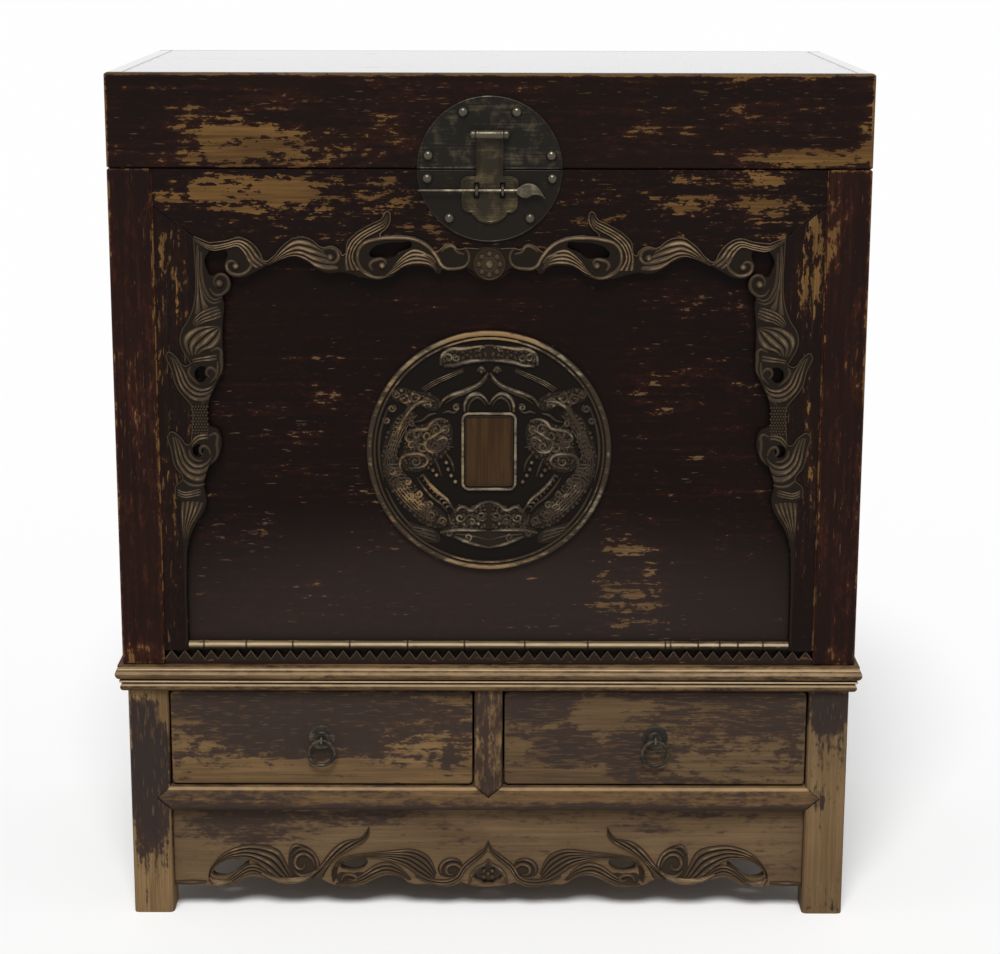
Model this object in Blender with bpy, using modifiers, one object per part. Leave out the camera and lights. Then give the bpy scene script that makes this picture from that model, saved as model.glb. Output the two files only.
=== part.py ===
# Carved lidded chest on a two-drawer stand, in metres, +Z up, front towards -Y.
# The origin is on the floor, in the middle of the object.
import math

import bmesh
import bpy
from mathutils import Matrix, Vector

# Clearances
SEAT_GAP = 0.0003  # between pieces that touch
LID_GAP = 0.0010  # between lid and box
DRAWER_CLEAR = 0.0012  # round a drawer front
GUIDE_CLEAR = 0.0010  # between a drawer side and its guide
PIVOT_CLEAR = 0.0004  # round a pin in its bore
EYE_CLEAR = 0.0005  # round the lock pin in its eyes
PIN_OFF_HASP = 0.0006
HASP_OFF_PLATE = 0.0006
SLOT_CLEAR = 0.0010  # round an eye in its slot
RING_PLAY = 0.0014  # between a ring and its eye, top and bottom together
WELD = 0.00001  # points nearer than this are one

# Facets of the round shapes
ROD_SIDES = 16
TURN_STEPS = 20
RING_STEPS = 24
PLATE_STEPS = 28
MEDALLION_STEPS = 48
NAIL_STEPS = 10
EYE_STEPS = 8
FLAT_ANGLE = 0.5  # degrees, faces flatter than this are joined

# Case and lid
BODY_WIDTH = 0.850
BODY_DEPTH = 0.475
BOX_HEIGHT = 0.574
LID_HEIGHT = 0.104
CASE_BOARD = 0.018
BOTTOM_BOARD = 0.015
LID_TOP_BOARD = 0.016
SOFT_EDGE = 0.0015
LID_EDGE = 0.005

# Front of the box
POST_WIDTH = 0.049
FRONT_THICK = 0.024
RAIL_THICK = 0.010
RIB_RADIUS = 0.0038
RIB_SINK = 0.15  # share of a rib's radius
MITRE_DROP = 0.0405  # where the mitre meets the post, below the box top
ROSETTE_RADIUS = 0.018
ROSETTE_DROP = 0.105
ROSETTE_HEIGHT = 0.005
ROSETTE_SHARES = ((0.3, 1.0), (0.45, 0.6), (0.7, 0.9))  # of radius and height

# Medallion
MEDALLION_RADIUS = 0.140
MEDALLION_LIFT = 0.0131  # centre above the middle of the open panel
MEDALLION_BASE = 0.003
BEAD_RADIUS = 0.0026
WINDOW_WIDTH = 0.062
WINDOW_HEIGHT = 0.090
WINDOW_FRAME = 0.006
WINDOW_CHAMFER = 0.008
WINDOW_RISE = 0.0065
MOTIF_RADIUS = 0.0022

# Mouldings at the foot of the box
BAMBOO_RADIUS = 0.0050
BAMBOO_SPACING = 0.055
BAMBOO_KNOT = 1.12
TOOTH_HEIGHT = 0.0105
TOOTH_BASE = 0.0060
TOOTH_PITCH = 0.0154
TOOTH_THICK = 0.008

# Stand
STAND_HEIGHT = 0.310
FRAME_HEIGHT = 0.032
FRAME_WIDTH = 0.062
FRAME_OVERHANG = 0.0085
FRAME_FILLET = 0.003
FRAME_LOWER_BEAD = 0.0055
FRAME_LOWER_INSET = 0.005
LEG_WIDTH = 0.047
LEG_INSET = 0.004
LEG_ROUND = 0.005
RAIL_TOP = 0.159
RAIL_HEIGHT = 0.030
RAIL_DEPTH = 0.042
DIVIDER_WIDTH = 0.033
POINT_DEPTH = 0.010
RAIL_POINT = 0.016
DIVIDER_POINT = 0.014
RAIL_SOFT = 0.004
STAND_BOARD = 0.016
STAND_BOARD_INSET = 0.006
SIDE_APRON_DROP = 0.040
SIDE_APRON_ARCH = 0.014
APRON_THICK = 0.018
APRON_RECESS = 0.012
APRON_RIB_RADIUS = 0.0030
RUNNER_HEIGHT = 0.022
RUNNER_LEDGE = 0.030
GUIDE_HEIGHT = 0.024

# Drawers
DRAWER_SETBACK = 0.003
DRAWER_FRONT = 0.018
DRAWER_WALL = 0.011
DRAWER_WALL_DROP = 0.010  # the sides stop below the front's top edge
DRAWER_BOTTOM = 0.007
DRAWER_BOTTOM_RAISE = 0.006
GROOVE = 0.004
DRAWER_BACK_ROOM = 0.014

# Ring pulls
PULL_PLATE_RADIUS = 0.0135
PULL_PLATE_RISE = 0.0022
PULL_PLATE_SHARES = ((0.55, 1.0), (0.92, 0.6))  # of radius and rise
PULL_EYE_WIRE = 0.0016
PULL_EYE_STAND = 0.0085  # eye's centre in front of the drawer
RING_RADIUS = 0.0150
RING_WIRE = 0.0022

# Lock
PLATE_RADIUS = 0.081
PLATE_THICK = 0.002
NAIL_INSET = 0.011
NAIL_RADIUS = 0.006
NAIL_RISE = 0.0035
UPPER_NAIL_ANGLES = (13.0, 65.0, 115.0, 167.0)
LOWER_NAIL_ANGLES = (-8.0, -50.0, -130.0, -172.0)
HASP_AXIS_RISE = 0.039  # above the box top
HASP_BARREL = 0.0050
HASP_BARREL_WIDTH = 0.042
HASP_PIN_RADIUS = 0.0020
HASP_THICK = 0.0025
STRAP_WIDTH = 0.031
TONGUE_WIDTH = 0.064
TONGUE_TOP = 0.046  # below the hasp's axis
TONGUE_LENGTH = 0.052
TONGUE_SHARES = ((0.86, 0.03), (1.0, 0.22), (0.84, 0.48), (0.66, 0.78))  # of half width and length
EYE_SPREAD = 0.0144
EYE_IN_TONGUE = 0.0155  # below the tongue's top
EYE_WIRE = 0.0018
LOCK_PIN_RADIUS = 0.0027
LOCK_PIN_TIP = 0.0012
LOCK_PIN_LEFT = 0.080
LOCK_PIN_RIGHT = 0.030
PADDLE_LENGTH = 0.032
PADDLE_WIDTH = 0.019
PADDLE_THICK = 0.0030
PADDLE_BELLY_SHARES = (0.35, 0.32)  # of length and width
PADDLE_NOTCH_SHARE = 0.8  # of length

# Lid hinges
HINGE_SPREAD = 0.250
HINGE_WIDTH = 0.056
HINGE_LEAF_HEIGHT = 0.042
HINGE_LEAF = 0.0020
HINGE_BARREL = 0.0045
HINGE_PIN_RADIUS = 0.0022
HINGE_BARREL_GAP = 0.0005

# Colours, roughness and metallic values
FINISHES = {
    "lacquer": ((0.030, 0.017, 0.014), 0.45, 0.0),
    "red_lacquer": ((0.055, 0.022, 0.016), 0.45, 0.0),
    "worn_wood": ((0.130, 0.085, 0.048), 0.60, 0.0),
    "bare_wood": ((0.180, 0.120, 0.070), 0.70, 0.0),
    "bronze": ((0.085, 0.080, 0.062), 0.40, 0.9),
    "bright_bronze": ((0.300, 0.260, 0.190), 0.30, 1.0),
}

# Carved outlines: x from the centre line and drop below the box top, for a front drawn at this size
CARVED_HALF = 0.3760
CARVED_DROP = 0.5457
RAIL_EDGE = (
    (0.3120, 0.0893, "sharp"), (0.3010, 0.0885), (0.2935, 0.0925), (0.2965, 0.1080),
    (0.2900, 0.1195), (0.2735, 0.1205), (0.2620, 0.1150), (0.2360, 0.1020), (0.2210, 0.0983),
    (0.2060, 0.1030), (0.1925, 0.1120), (0.1800, 0.1163), (0.1645, 0.1152), (0.1415, 0.1213),
    (0.1232, 0.1228), (0.1080, 0.1190), (0.0975, 0.1110), (0.0820, 0.1072), (0.0670, 0.1090),
    (0.0565, 0.1170), (0.0515, 0.1115), (0.0385, 0.1134), (0.0255, 0.1100), (0.0180, 0.1150),
    (0.0100, 0.1210),
)
RAIL_EDGE_MIDDLE = 0.1228
RAIL_HOLE = (
    (0.1335, 0.0965), (0.1305, 0.0885), (0.1180, 0.0830), (0.0990, 0.0815),
    (0.0870, 0.0830), (0.0995, 0.0920), (0.1110, 0.0990), (0.1210, 0.0980),
)
STILE_EDGE = (
    (0.3120, 0.0905, "sharp"), (0.3180, 0.1010), (0.3160, 0.1120), (0.3110, 0.1195),
    (0.3040, 0.1160), (0.2950, 0.1180), (0.2895, 0.1265), (0.2915, 0.1365), (0.2985, 0.1420),
    (0.2975, 0.1510), (0.2996, 0.1757), (0.3000, 0.1940), (0.3008, 0.2260), (0.3095, 0.2455),
    (0.3168, 0.2622), (0.3175, 0.2902), (0.3070, 0.2960), (0.3075, 0.3266), (0.3204, 0.3406),
    (0.3250, 0.3580), (0.3226, 0.3805), (0.3388, 0.4124), (0.3448, 0.4295), (0.3470, 0.4580),
)
STILE_FOOT_X = 0.3478
STILE_HOLES = (
    ((0.3325, 0.2330), (0.3280, 0.2235), (0.3195, 0.2245), (0.3210, 0.2370), (0.3270, 0.2405)),
    ((0.3370, 0.3200), (0.3330, 0.3130), (0.3270, 0.3140), (0.3280, 0.3250), (0.3330, 0.3270)),
)
INNER_CORNER = (0.3305, 0.0752)  # where the mitre leaves the flat frame

# Raised ribs on the carved rail and stiles, as x and drop below the box top
RAIL_RIBS = (
    ((0.3230, 0.0745), (0.3130, 0.0790), (0.3010, 0.0820), (0.2870, 0.0785), (0.2765, 0.0803),
     (0.2670, 0.0892), (0.2560, 0.0990), (0.2485, 0.1010), (0.2400, 0.0965), (0.2290, 0.0840),
     (0.2150, 0.0785), (0.2000, 0.0800)),
    ((0.2765, 0.0870), (0.2720, 0.0990), (0.2740, 0.1100), (0.2830, 0.1150), (0.2900, 0.1090),
     (0.2850, 0.1030)),
    ((0.2330, 0.0955), (0.2200, 0.0880), (0.2060, 0.0920), (0.1940, 0.1040), (0.1810, 0.1110)),
    ((0.1990, 0.0850), (0.1900, 0.0960), (0.1800, 0.1020), (0.1710, 0.0950), (0.1760, 0.0870)),
    ((0.1600, 0.1110), (0.1575, 0.0960), (0.1480, 0.0790), (0.1300, 0.0670), (0.1160, 0.0595),
     (0.1105, 0.0500)),
    ((0.1440, 0.1150), (0.1460, 0.1000), (0.1390, 0.0850), (0.1200, 0.0775), (0.0970, 0.0760),
     (0.0770, 0.0850), (0.0630, 0.1000), (0.0500, 0.1070), (0.0370, 0.1080), (0.0285, 0.1020),
     (0.0260, 0.0930), (0.0300, 0.0850)),
    ((0.1330, 0.1165), (0.1200, 0.1160), (0.1060, 0.1080), (0.0930, 0.1020), (0.0800, 0.1020)),
)
STILE_RIBS = (
    ((0.3270, 0.0850), (0.3265, 0.1000), (0.3240, 0.1150), (0.3180, 0.1300), (0.3080, 0.1400)),
    ((0.3100, 0.1290), (0.3020, 0.1230), (0.2960, 0.1290), (0.2990, 0.1360)),
    ((0.3060, 0.1480), (0.3180, 0.1560), (0.3320, 0.1700), (0.3390, 0.1880), (0.3370, 0.2080)),
    ((0.3610, 0.2090), (0.3530, 0.2200), (0.3470, 0.2400), (0.3350, 0.2520), (0.3200, 0.2550)),
    ((0.3380, 0.2250), (0.3330, 0.2430), (0.3220, 0.2470), (0.3120, 0.2390), (0.3110, 0.2290)),
    ((0.3050, 0.2000), (0.3060, 0.2150), (0.3060, 0.2280)),
    ((0.3620, 0.3010), (0.3560, 0.3150), (0.3500, 0.3320), (0.3400, 0.3440), (0.3260, 0.3460)),
    ((0.3430, 0.3160), (0.3370, 0.3310), (0.3280, 0.3350), (0.3190, 0.3290), (0.3170, 0.3180)),
    ((0.3290, 0.3580), (0.3300, 0.3750), (0.3400, 0.3950), (0.3480, 0.4150)),
)

# Motifs of the medallion, as right and up from its centre, one half, for a disc drawn at this radius
MOTIF_DISC = 0.140
MOTIFS = (
    ((0.055, 0.103), (0.046, 0.112), (0.030, 0.115), (0.014, 0.118), (0.000, 0.120)),
    ((0.079, 0.072), (0.058, 0.085), (0.032, 0.095)),
    ((0.055, 0.060), (0.034, 0.070), (0.011, 0.080), (0.0035, 0.089)),
    ((0.028, 0.049), (0.026, 0.060), (0.018, 0.067), (0.008, 0.066), (0.0035, 0.058)),
    ((0.063, 0.056), (0.083, 0.051), (0.099, 0.037), (0.105, 0.014), (0.099, -0.013),
     (0.086, -0.023), (0.071, -0.019)),
    ((0.047, 0.002), (0.071, -0.004), (0.091, -0.002), (0.093, 0.012), (0.080, 0.021)),
    ((0.112, -0.030), (0.103, -0.050), (0.088, -0.068), (0.070, -0.083)),
    ((0.075, -0.030), (0.059, -0.046), (0.047, -0.061), (0.039, -0.081)),
    ((0.035, -0.067), (0.014, -0.061), (0.0035, -0.060)),
    ((0.041, -0.094), (0.018, -0.093), (0.0035, -0.096)),
    ((0.038, -0.103), (0.014, -0.109), (0.0035, -0.113)),
)

# Lower edge of the apron and its carving, as x from the centre line and height above the floor,
# for an apron drawn at this size
APRON_HALF = 0.374
APRON_RISE = 0.129
APRON_EDGE = (
    (0.3355, 0.0297, "sharp"), (0.3205, 0.0290), (0.3045, 0.0297), (0.2888, 0.0395),
    (0.2784, 0.0408), (0.2634, 0.0370), (0.2440, 0.0332), (0.2170, 0.0352), (0.2037, 0.0433, "sharp"),
    (0.1955, 0.0357), (0.1801, 0.0297), (0.1519, 0.0297), (0.1335, 0.0383), (0.1180, 0.0430),
    (0.1037, 0.0395), (0.0924, 0.0324), (0.0716, 0.0311), (0.0459, 0.0283), (0.0320, 0.0340, "sharp"),
    (0.0203, 0.0300),
)
APRON_EYES = (
    ((0.3288, 0.0463), (0.3166, 0.0573), (0.3010, 0.0614), (0.2850, 0.0595), (0.2965, 0.0517),
     (0.3060, 0.0420), (0.3170, 0.0400)),
    ((0.1762, 0.0548), (0.1644, 0.0628), (0.1450, 0.0640), (0.1491, 0.0495), (0.1690, 0.0475)),
)
APRON_RIBS = (
    ((0.3345, 0.0450), (0.3170, 0.0700), (0.2878, 0.0800), (0.2673, 0.0790), (0.2520, 0.0700),
     (0.2430, 0.0560), (0.2360, 0.0420)),
    ((0.2930, 0.0680), (0.2760, 0.0640), (0.2620, 0.0540), (0.2520, 0.0440)),
    ((0.2240, 0.0430), (0.2130, 0.0470), (0.2110, 0.0590), (0.2220, 0.0660), (0.2300, 0.0580)),
    ((0.2030, 0.0520), (0.1960, 0.0700), (0.1722, 0.0865), (0.1530, 0.0900), (0.1423, 0.1060)),
    ((0.1830, 0.0500), (0.1740, 0.0680), (0.1500, 0.0730), (0.1204, 0.0745), (0.0921, 0.0750),
     (0.0700, 0.0650), (0.0620, 0.0520), (0.0580, 0.0390)),
    ((0.1350, 0.0620), (0.1180, 0.0590), (0.1030, 0.0500), (0.0920, 0.0420)),
    ((0.0500, 0.0390), (0.0400, 0.0450), (0.0420, 0.0550), (0.0510, 0.0570)),
    ((0.0300, 0.0420), (0.0250, 0.0573), (0.0110, 0.0680), (0.0035, 0.0790)),
)
OGEE = ((0.0165, 0.0383), (0.0120, 0.0490), (0.0050, 0.0550), (0.0, 0.0590, "sharp"))

# Planes and places worked out from the sizes
EYE_LOOP = LOCK_PIN_RADIUS + EYE_CLEAR + EYE_WIRE
EYE_STAND = HASP_OFF_PLATE + HASP_THICK + PIN_OFF_HASP + LOCK_PIN_RADIUS
PULL_EYE_LOOP = RING_WIRE + RING_PLAY + PULL_EYE_WIRE
NAIL_CIRCLE = PLATE_RADIUS - NAIL_INSET
LOCK_REACH = PLATE_THICK + EYE_STAND + EYE_LOOP + EYE_WIRE
HINGE_REACH = SEAT_GAP + 2 * HINGE_BARREL
FRONT_Y = (LOCK_REACH - HINGE_REACH - BODY_DEPTH) / 2
BACK_Y = FRONT_Y + BODY_DEPTH
HALF_WIDTH = BODY_WIDTH / 2
BOX_BASE = STAND_HEIGHT + SEAT_GAP
BOX_TOP = STAND_HEIGHT + BOX_HEIGHT
LID_BASE = BOX_TOP + LID_GAP
LID_TOP = LID_BASE + LID_HEIGHT
POST_INNER = HALF_WIDTH - POST_WIDTH
FRONT_HALF = POST_INNER - SEAT_GAP
TOOTH_TOP = BOX_BASE + TOOTH_BASE + TOOTH_HEIGHT
BAMBOO_AXIS = TOOTH_TOP + SEAT_GAP + BAMBOO_RADIUS * BAMBOO_KNOT
BAMBOO_TOP = BAMBOO_AXIS + BAMBOO_RADIUS * BAMBOO_KNOT
PANEL_FRONT = FRONT_Y + RAIL_THICK + SEAT_GAP
PLATE_FRONT = FRONT_Y - SEAT_GAP - PLATE_THICK
FRAME_BASE = STAND_HEIGHT - FRAME_HEIGHT
LEG_TOP = FRAME_BASE - SEAT_GAP
LEG_OUTER = HALF_WIDTH - LEG_INSET
LEG_INNER = LEG_OUTER - LEG_WIDTH
APRON_WIDTH = LEG_INNER - SEAT_GAP
LEG_FRONT = FRONT_Y + LEG_INSET
LEG_BACK = BACK_Y - LEG_INSET
STAND_SIDE_INNER = LEG_OUTER - STAND_BOARD_INSET - STAND_BOARD
STAND_BACK_FACE = LEG_BACK - STAND_BOARD_INSET - STAND_BOARD
RAIL_BASE = RAIL_TOP - RAIL_HEIGHT
DRAWER_FACE = LEG_FRONT + DRAWER_SETBACK
DRAWER_BASE = RAIL_TOP + SEAT_GAP
DRAWER_END = STAND_BACK_FACE - DRAWER_BACK_ROOM
LID_AXIS = Vector((0.0, BACK_Y + SEAT_GAP + HINGE_BARREL, BOX_TOP + LID_GAP / 2))
HASP_AXIS = Vector((0.0, PLATE_FRONT - HASP_BARREL - SEAT_GAP, BOX_TOP + HASP_AXIS_RISE))
TONGUE_Z = HASP_AXIS.z - TONGUE_TOP
EYE_CENTRE = Vector((0.0, PLATE_FRONT - EYE_STAND, TONGUE_Z - EYE_IN_TONGUE))

for old in list(bpy.data.objects):
    bpy.data.objects.remove(old)


def new_collection(name):
    group = bpy.data.collections.new(name)
    bpy.context.scene.collection.children.link(group)
    return group


PARTS = new_collection("carved_chest")
CUTTERS = new_collection("cutters")


def finish(name, kind):
    colour, roughness, metallic = FINISHES[kind]
    material = bpy.data.materials.new(name + "_" + kind)
    material.use_nodes = True
    shader = material.node_tree.nodes["Principled BSDF"]
    shader.inputs["Base Color"].default_value = (*colour, 1.0)
    shader.inputs["Roughness"].default_value = roughness
    shader.inputs["Metallic"].default_value = metallic
    return material


def pivot(name, place):
    empty = bpy.data.objects.new(name, None)
    empty.location = place
    empty.empty_display_size = 0.03
    PARTS.objects.link(empty)
    return empty


def part(name, mesh, kind, carrier=None):
    mesh.name = name
    piece = bpy.data.objects.new(name, mesh)
    mesh.materials.clear()
    mesh.materials.append(finish(name, kind))
    PARTS.objects.link(piece)
    if carrier:
        piece.parent = carrier
        piece.matrix_parent_inverse = Matrix.Translation(-carrier.location)
    return piece


def tool(mesh):
    piece = bpy.data.objects.new("tool", mesh)
    piece.hide_render = True
    piece.display_type = "WIRE"
    CUTTERS.objects.link(piece)
    return piece


def combine(piece, operand, operation, solver="EXACT"):
    step = piece.modifiers.new(operation.lower(), "BOOLEAN")
    step.operation = operation
    step.object = operand
    step.solver = solver


def mesh_from(bm):
    mesh = bpy.data.meshes.new("mesh")
    bm.to_mesh(mesh)
    bm.free()
    return mesh


def edge_axis(edge):
    run = edge.verts[1].co - edge.verts[0].co
    return "XYZ"[max(range(3), key=lambda i: abs(run[i]))]


def soften(bm, edges, radius, steps=2):
    bmesh.ops.bevel(bm, geom=edges, offset=radius, offset_type="OFFSET", segments=steps,
                    profile=0.5, affect="EDGES", clamp_overlap=True, material=-1)


def box_mesh(size):
    bm = bmesh.new()
    bmesh.ops.create_cube(bm, size=1.0)
    bmesh.ops.scale(bm, vec=size, verts=bm.verts)
    return bm


# A straight board between two corners, with its long edges eased
def board(name, x, y, z, kind, carrier=None, soft=0.0, axes="XYZ", steps=1):
    low = Vector((x[0], y[0], z[0]))
    high = Vector((x[1], y[1], z[1]))
    bm = box_mesh(high - low)
    if soft:
        soften(bm, [edge for edge in bm.edges if edge_axis(edge) in axes], soft, steps)
    piece = part(name, mesh_from(bm), kind, carrier)
    piece.location = (low + high) / 2
    return piece


def block(x, y, z):
    low = Vector((x[0], y[0], z[0]))
    high = Vector((x[1], y[1], z[1]))
    piece = tool(mesh_from(box_mesh(high - low)))
    piece.location = (low + high) / 2
    return piece


def rod_mesh(radius, length):
    bm = bmesh.new()
    bmesh.ops.create_cone(bm, cap_ends=True, segments=ROD_SIDES, radius1=radius, radius2=radius,
                          depth=length)
    bmesh.ops.rotate(bm, verts=bm.verts, matrix=Matrix.Rotation(math.pi / 2, 3, "Y"))
    return mesh_from(bm)


# A round bar along X
def rod(radius, place, length):
    piece = tool(rod_mesh(radius, length))
    piece.location = place
    return piece


def curve_mesh(curve):
    holder = bpy.data.objects.new("holder", curve)
    bpy.context.scene.collection.objects.link(holder)
    graph = bpy.context.evaluated_depsgraph_get()
    mesh = bpy.data.meshes.new_from_object(holder.evaluated_get(graph))
    bpy.data.objects.remove(holder)
    bm = bmesh.new()
    bm.from_mesh(mesh)
    bmesh.ops.remove_doubles(bm, verts=bm.verts, dist=WELD)
    bmesh.ops.recalc_face_normals(bm, faces=bm.faces)
    bm.to_mesh(mesh)
    bm.free()
    return mesh


def add_loop(curve, points):
    if all(len(point) > 2 for point in points):
        spline = curve.splines.new("POLY")
        spline.points.add(len(points) - 1)
        for knot, point in zip(spline.points, points):
            knot.co = (point[0], point[1], 0.0, 1.0)
    else:
        spline = curve.splines.new("BEZIER")
        spline.bezier_points.add(len(points) - 1)
        for knot, point in zip(spline.bezier_points, points):
            knot.co = (point[0], point[1], 0.0)
            style = "VECTOR" if len(point) > 2 else "AUTO"
            knot.handle_left_type = style
            knot.handle_right_type = style
    spline.use_cyclic_u = True


# A flat outline with any holes, drawn in X and Z, from one Y plane to another
def outline_mesh(loops, thickness, smooth=2):
    curve = bpy.data.curves.new("outline", "CURVE")
    curve.dimensions = "2D"
    curve.fill_mode = "BOTH"
    curve.extrude = thickness / 2
    curve.resolution_u = smooth
    for points in loops:
        add_loop(curve, points)
    return curve_mesh(curve)


def stand_up(piece, front, thickness):
    piece.rotation_euler = (math.pi / 2, 0.0, 0.0)
    piece.location = (0.0, front + thickness / 2, 0.0)
    return piece


def outline(name, loops, front, thickness, kind, carrier=None, smooth=2):
    piece = part(name, outline_mesh(loops, thickness, smooth), kind, carrier)
    return stand_up(piece, front, thickness)


def outline_tool(loops, front, thickness, smooth=2):
    return stand_up(tool(outline_mesh(loops, thickness, smooth)), front, thickness)


def sharp(points):
    return [(point[0], point[1], "sharp") for point in points]


def mirror(points):
    return [(-point[0], *point[1:]) for point in points]


# Places drawn on the carved front, spread over the front's own width and height
def below_top(points):
    across = POST_INNER / CARVED_HALF
    down = (BOX_TOP - BAMBOO_TOP) / CARVED_DROP
    return [(point[0] * across, BOX_TOP - point[1] * down, *point[2:]) for point in points]


# Places drawn on the apron, spread between the legs and up to the drawer rail
def on_apron(points):
    across = LEG_INNER / APRON_HALF
    up = RAIL_BASE / APRON_RISE
    return [(point[0] * across, point[1] * up, *point[2:]) for point in points]


# A tube along points in space, its section a circle or, with sides 0, a ridge
def tube_mesh(points, radius, sides=1, smooth=3, closed=False, swell=None):
    curve = bpy.data.curves.new("tube", "CURVE")
    curve.dimensions = "3D"
    curve.bevel_depth = radius
    curve.bevel_resolution = sides
    curve.resolution_u = smooth
    curve.use_fill_caps = True
    if smooth:
        spline = curve.splines.new("BEZIER")
        spline.bezier_points.add(len(points) - 1)
        for knot, point in zip(spline.bezier_points, points):
            knot.co = point
            knot.handle_left_type = "AUTO"
            knot.handle_right_type = "AUTO"
    else:
        spline = curve.splines.new("POLY")
        spline.points.add(len(points) - 1)
        for index, point in enumerate(points):
            spline.points[index].co = (*point, 1.0)
            spline.points[index].radius = swell[index] if swell else 1.0
    spline.use_cyclic_u = closed
    return curve_mesh(curve)


# Carved ridges standing out of a flat face, sunk a little past their middle
def add_ribs(piece, ribs, face, radius, centre=(0.0, 0.0)):
    y = face + RIB_SINK * radius
    for points in ribs:
        path = [(centre[0] + x, y, centre[1] + z) for x, z in points]
        combine(piece, tool(tube_mesh(path, radius, sides=0, smooth=2)), "UNION", "MANIFOLD")
    merge_flat_faces(piece)


# Joins the flat triangles that the unions leave between ribs
def merge_flat_faces(piece):
    step = piece.modifiers.new("merge_flat", "DECIMATE")
    step.decimate_type = "DISSOLVE"
    step.angle_limit = math.radians(FLAT_ANGLE)


# A shape turned about its own Z axis, from a profile that runs top to bottom on its outer side
def turned(piece, steps):
    screw = piece.modifiers.new("turn", "SCREW")
    screw.axis = "Z"
    screw.steps = steps
    screw.render_steps = steps
    screw.use_merge_vertices = True
    screw.merge_threshold = WELD
    return piece


def profile_mesh(points):
    bm = bmesh.new()
    knots = [bm.verts.new((radius, 0.0, height)) for radius, height in points]
    for first, second in zip(knots, knots[1:]):
        bm.edges.new((first, second))
    return mesh_from(bm)


# A low turned boss, its face drawn as shares of radius and rise
def turned_profile(form, radius, rise, sink):
    face = [(radius * across, rise * up) for across, up in form]
    rim = [(radius, 0.0)] + ([(radius, -sink)] if sink else [])
    return profile_mesh([(0.0, rise)] + face + rim + [(0.0, -sink)])


def arc(centre, radius, start, end, count):
    turns = [math.radians(start + (end - start) * i / count) for i in range(count + 1)]
    return [(centre[0] + radius * math.cos(a), centre[1] + radius * math.sin(a)) for a in turns]


# Stand: moulded top frame, mitred at its corners
def frame_profile():
    bead = (FRAME_HEIGHT - FRAME_FILLET - 2 * FRAME_LOWER_BEAD) / 2
    upper = arc((-bead, -FRAME_FILLET - bead), bead, 90, -90, 6)
    lower_centre = (-FRAME_LOWER_INSET - FRAME_LOWER_BEAD, FRAME_LOWER_BEAD - FRAME_HEIGHT)
    lower = arc(lower_centre, FRAME_LOWER_BEAD, 60, -90, 4)
    top = [(-FRAME_WIDTH, 0.0), (-FRAME_FILLET, 0.0), (-FRAME_FILLET, -FRAME_FILLET)]
    return top + upper[1:] + lower + [(-FRAME_WIDTH, -FRAME_HEIGHT)]


def frame_member(name, length, place, turn):
    curve = bpy.data.curves.new("moulding", "CURVE")
    curve.dimensions = "2D"
    curve.fill_mode = "BOTH"
    curve.extrude = length / 2
    add_loop(curve, sharp(frame_profile()))
    mesh = curve_mesh(curve)
    for vert in mesh.vertices:
        inset = -vert.co.x + SEAT_GAP
        vert.co.z -= math.copysign(inset, vert.co.z)
    mesh.transform(Matrix.Rotation(math.pi / 2, 4, "X"))
    member = part(name, mesh, "worn_wood")
    member.location = place
    member.rotation_euler = (0.0, 0.0, turn)


def build_frame():
    half_long = HALF_WIDTH + FRAME_OVERHANG
    front = FRONT_Y - FRAME_OVERHANG
    back = BACK_Y + FRAME_OVERHANG
    middle = (front + back) / 2
    frame_member("stand_frame_front", 2 * half_long, (0.0, front, STAND_HEIGHT), -math.pi / 2)
    frame_member("stand_frame_back", 2 * half_long, (0.0, back, STAND_HEIGHT), math.pi / 2)
    frame_member("stand_frame_right", back - front, (half_long, middle, STAND_HEIGHT), 0.0)
    frame_member("stand_frame_left", back - front, (-half_long, middle, STAND_HEIGHT), math.pi)


# Stand: legs, notched where the drawer rail's pointed ends are let in
def rail_outline(spare):
    low = RAIL_BASE - spare
    high = RAIL_TOP + spare
    middle = (low + high) / 2
    tip = LEG_INNER + RAIL_POINT + 2 * spare
    start = LEG_INNER - SEAT_GAP
    half = [(start, low), (tip, middle), (start, high)]
    return [sharp(half + mirror(half[::-1]))]


def divider_outline(spare):
    half = DIVIDER_WIDTH / 2 + spare
    tip = RAIL_TOP - DIVIDER_POINT - 2 * spare
    post = [(half, LEG_TOP), (-half, LEG_TOP), (-half, RAIL_TOP), (0.0, tip), (half, RAIL_TOP)]
    return [sharp(post)]


def build_legs():
    notch = outline_tool(rail_outline(SEAT_GAP), LEG_FRONT - POINT_DEPTH, 2 * POINT_DEPTH + SEAT_GAP)
    for side, x in (("left", -1), ("right", 1)):
        span = sorted((x * LEG_INNER, x * LEG_OUTER))
        rise = (0.0, LEG_TOP)
        front = (LEG_FRONT, LEG_FRONT + LEG_WIDTH)
        back = (LEG_BACK - LEG_WIDTH, LEG_BACK)
        leg = board("stand_leg_front_" + side, span, front, rise, "worn_wood", None, LEG_ROUND, "Z", 2)
        combine(leg, notch, "DIFFERENCE")
        board("stand_leg_back_" + side, span, back, rise, "worn_wood", None, LEG_ROUND, "Z", 2)


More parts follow.
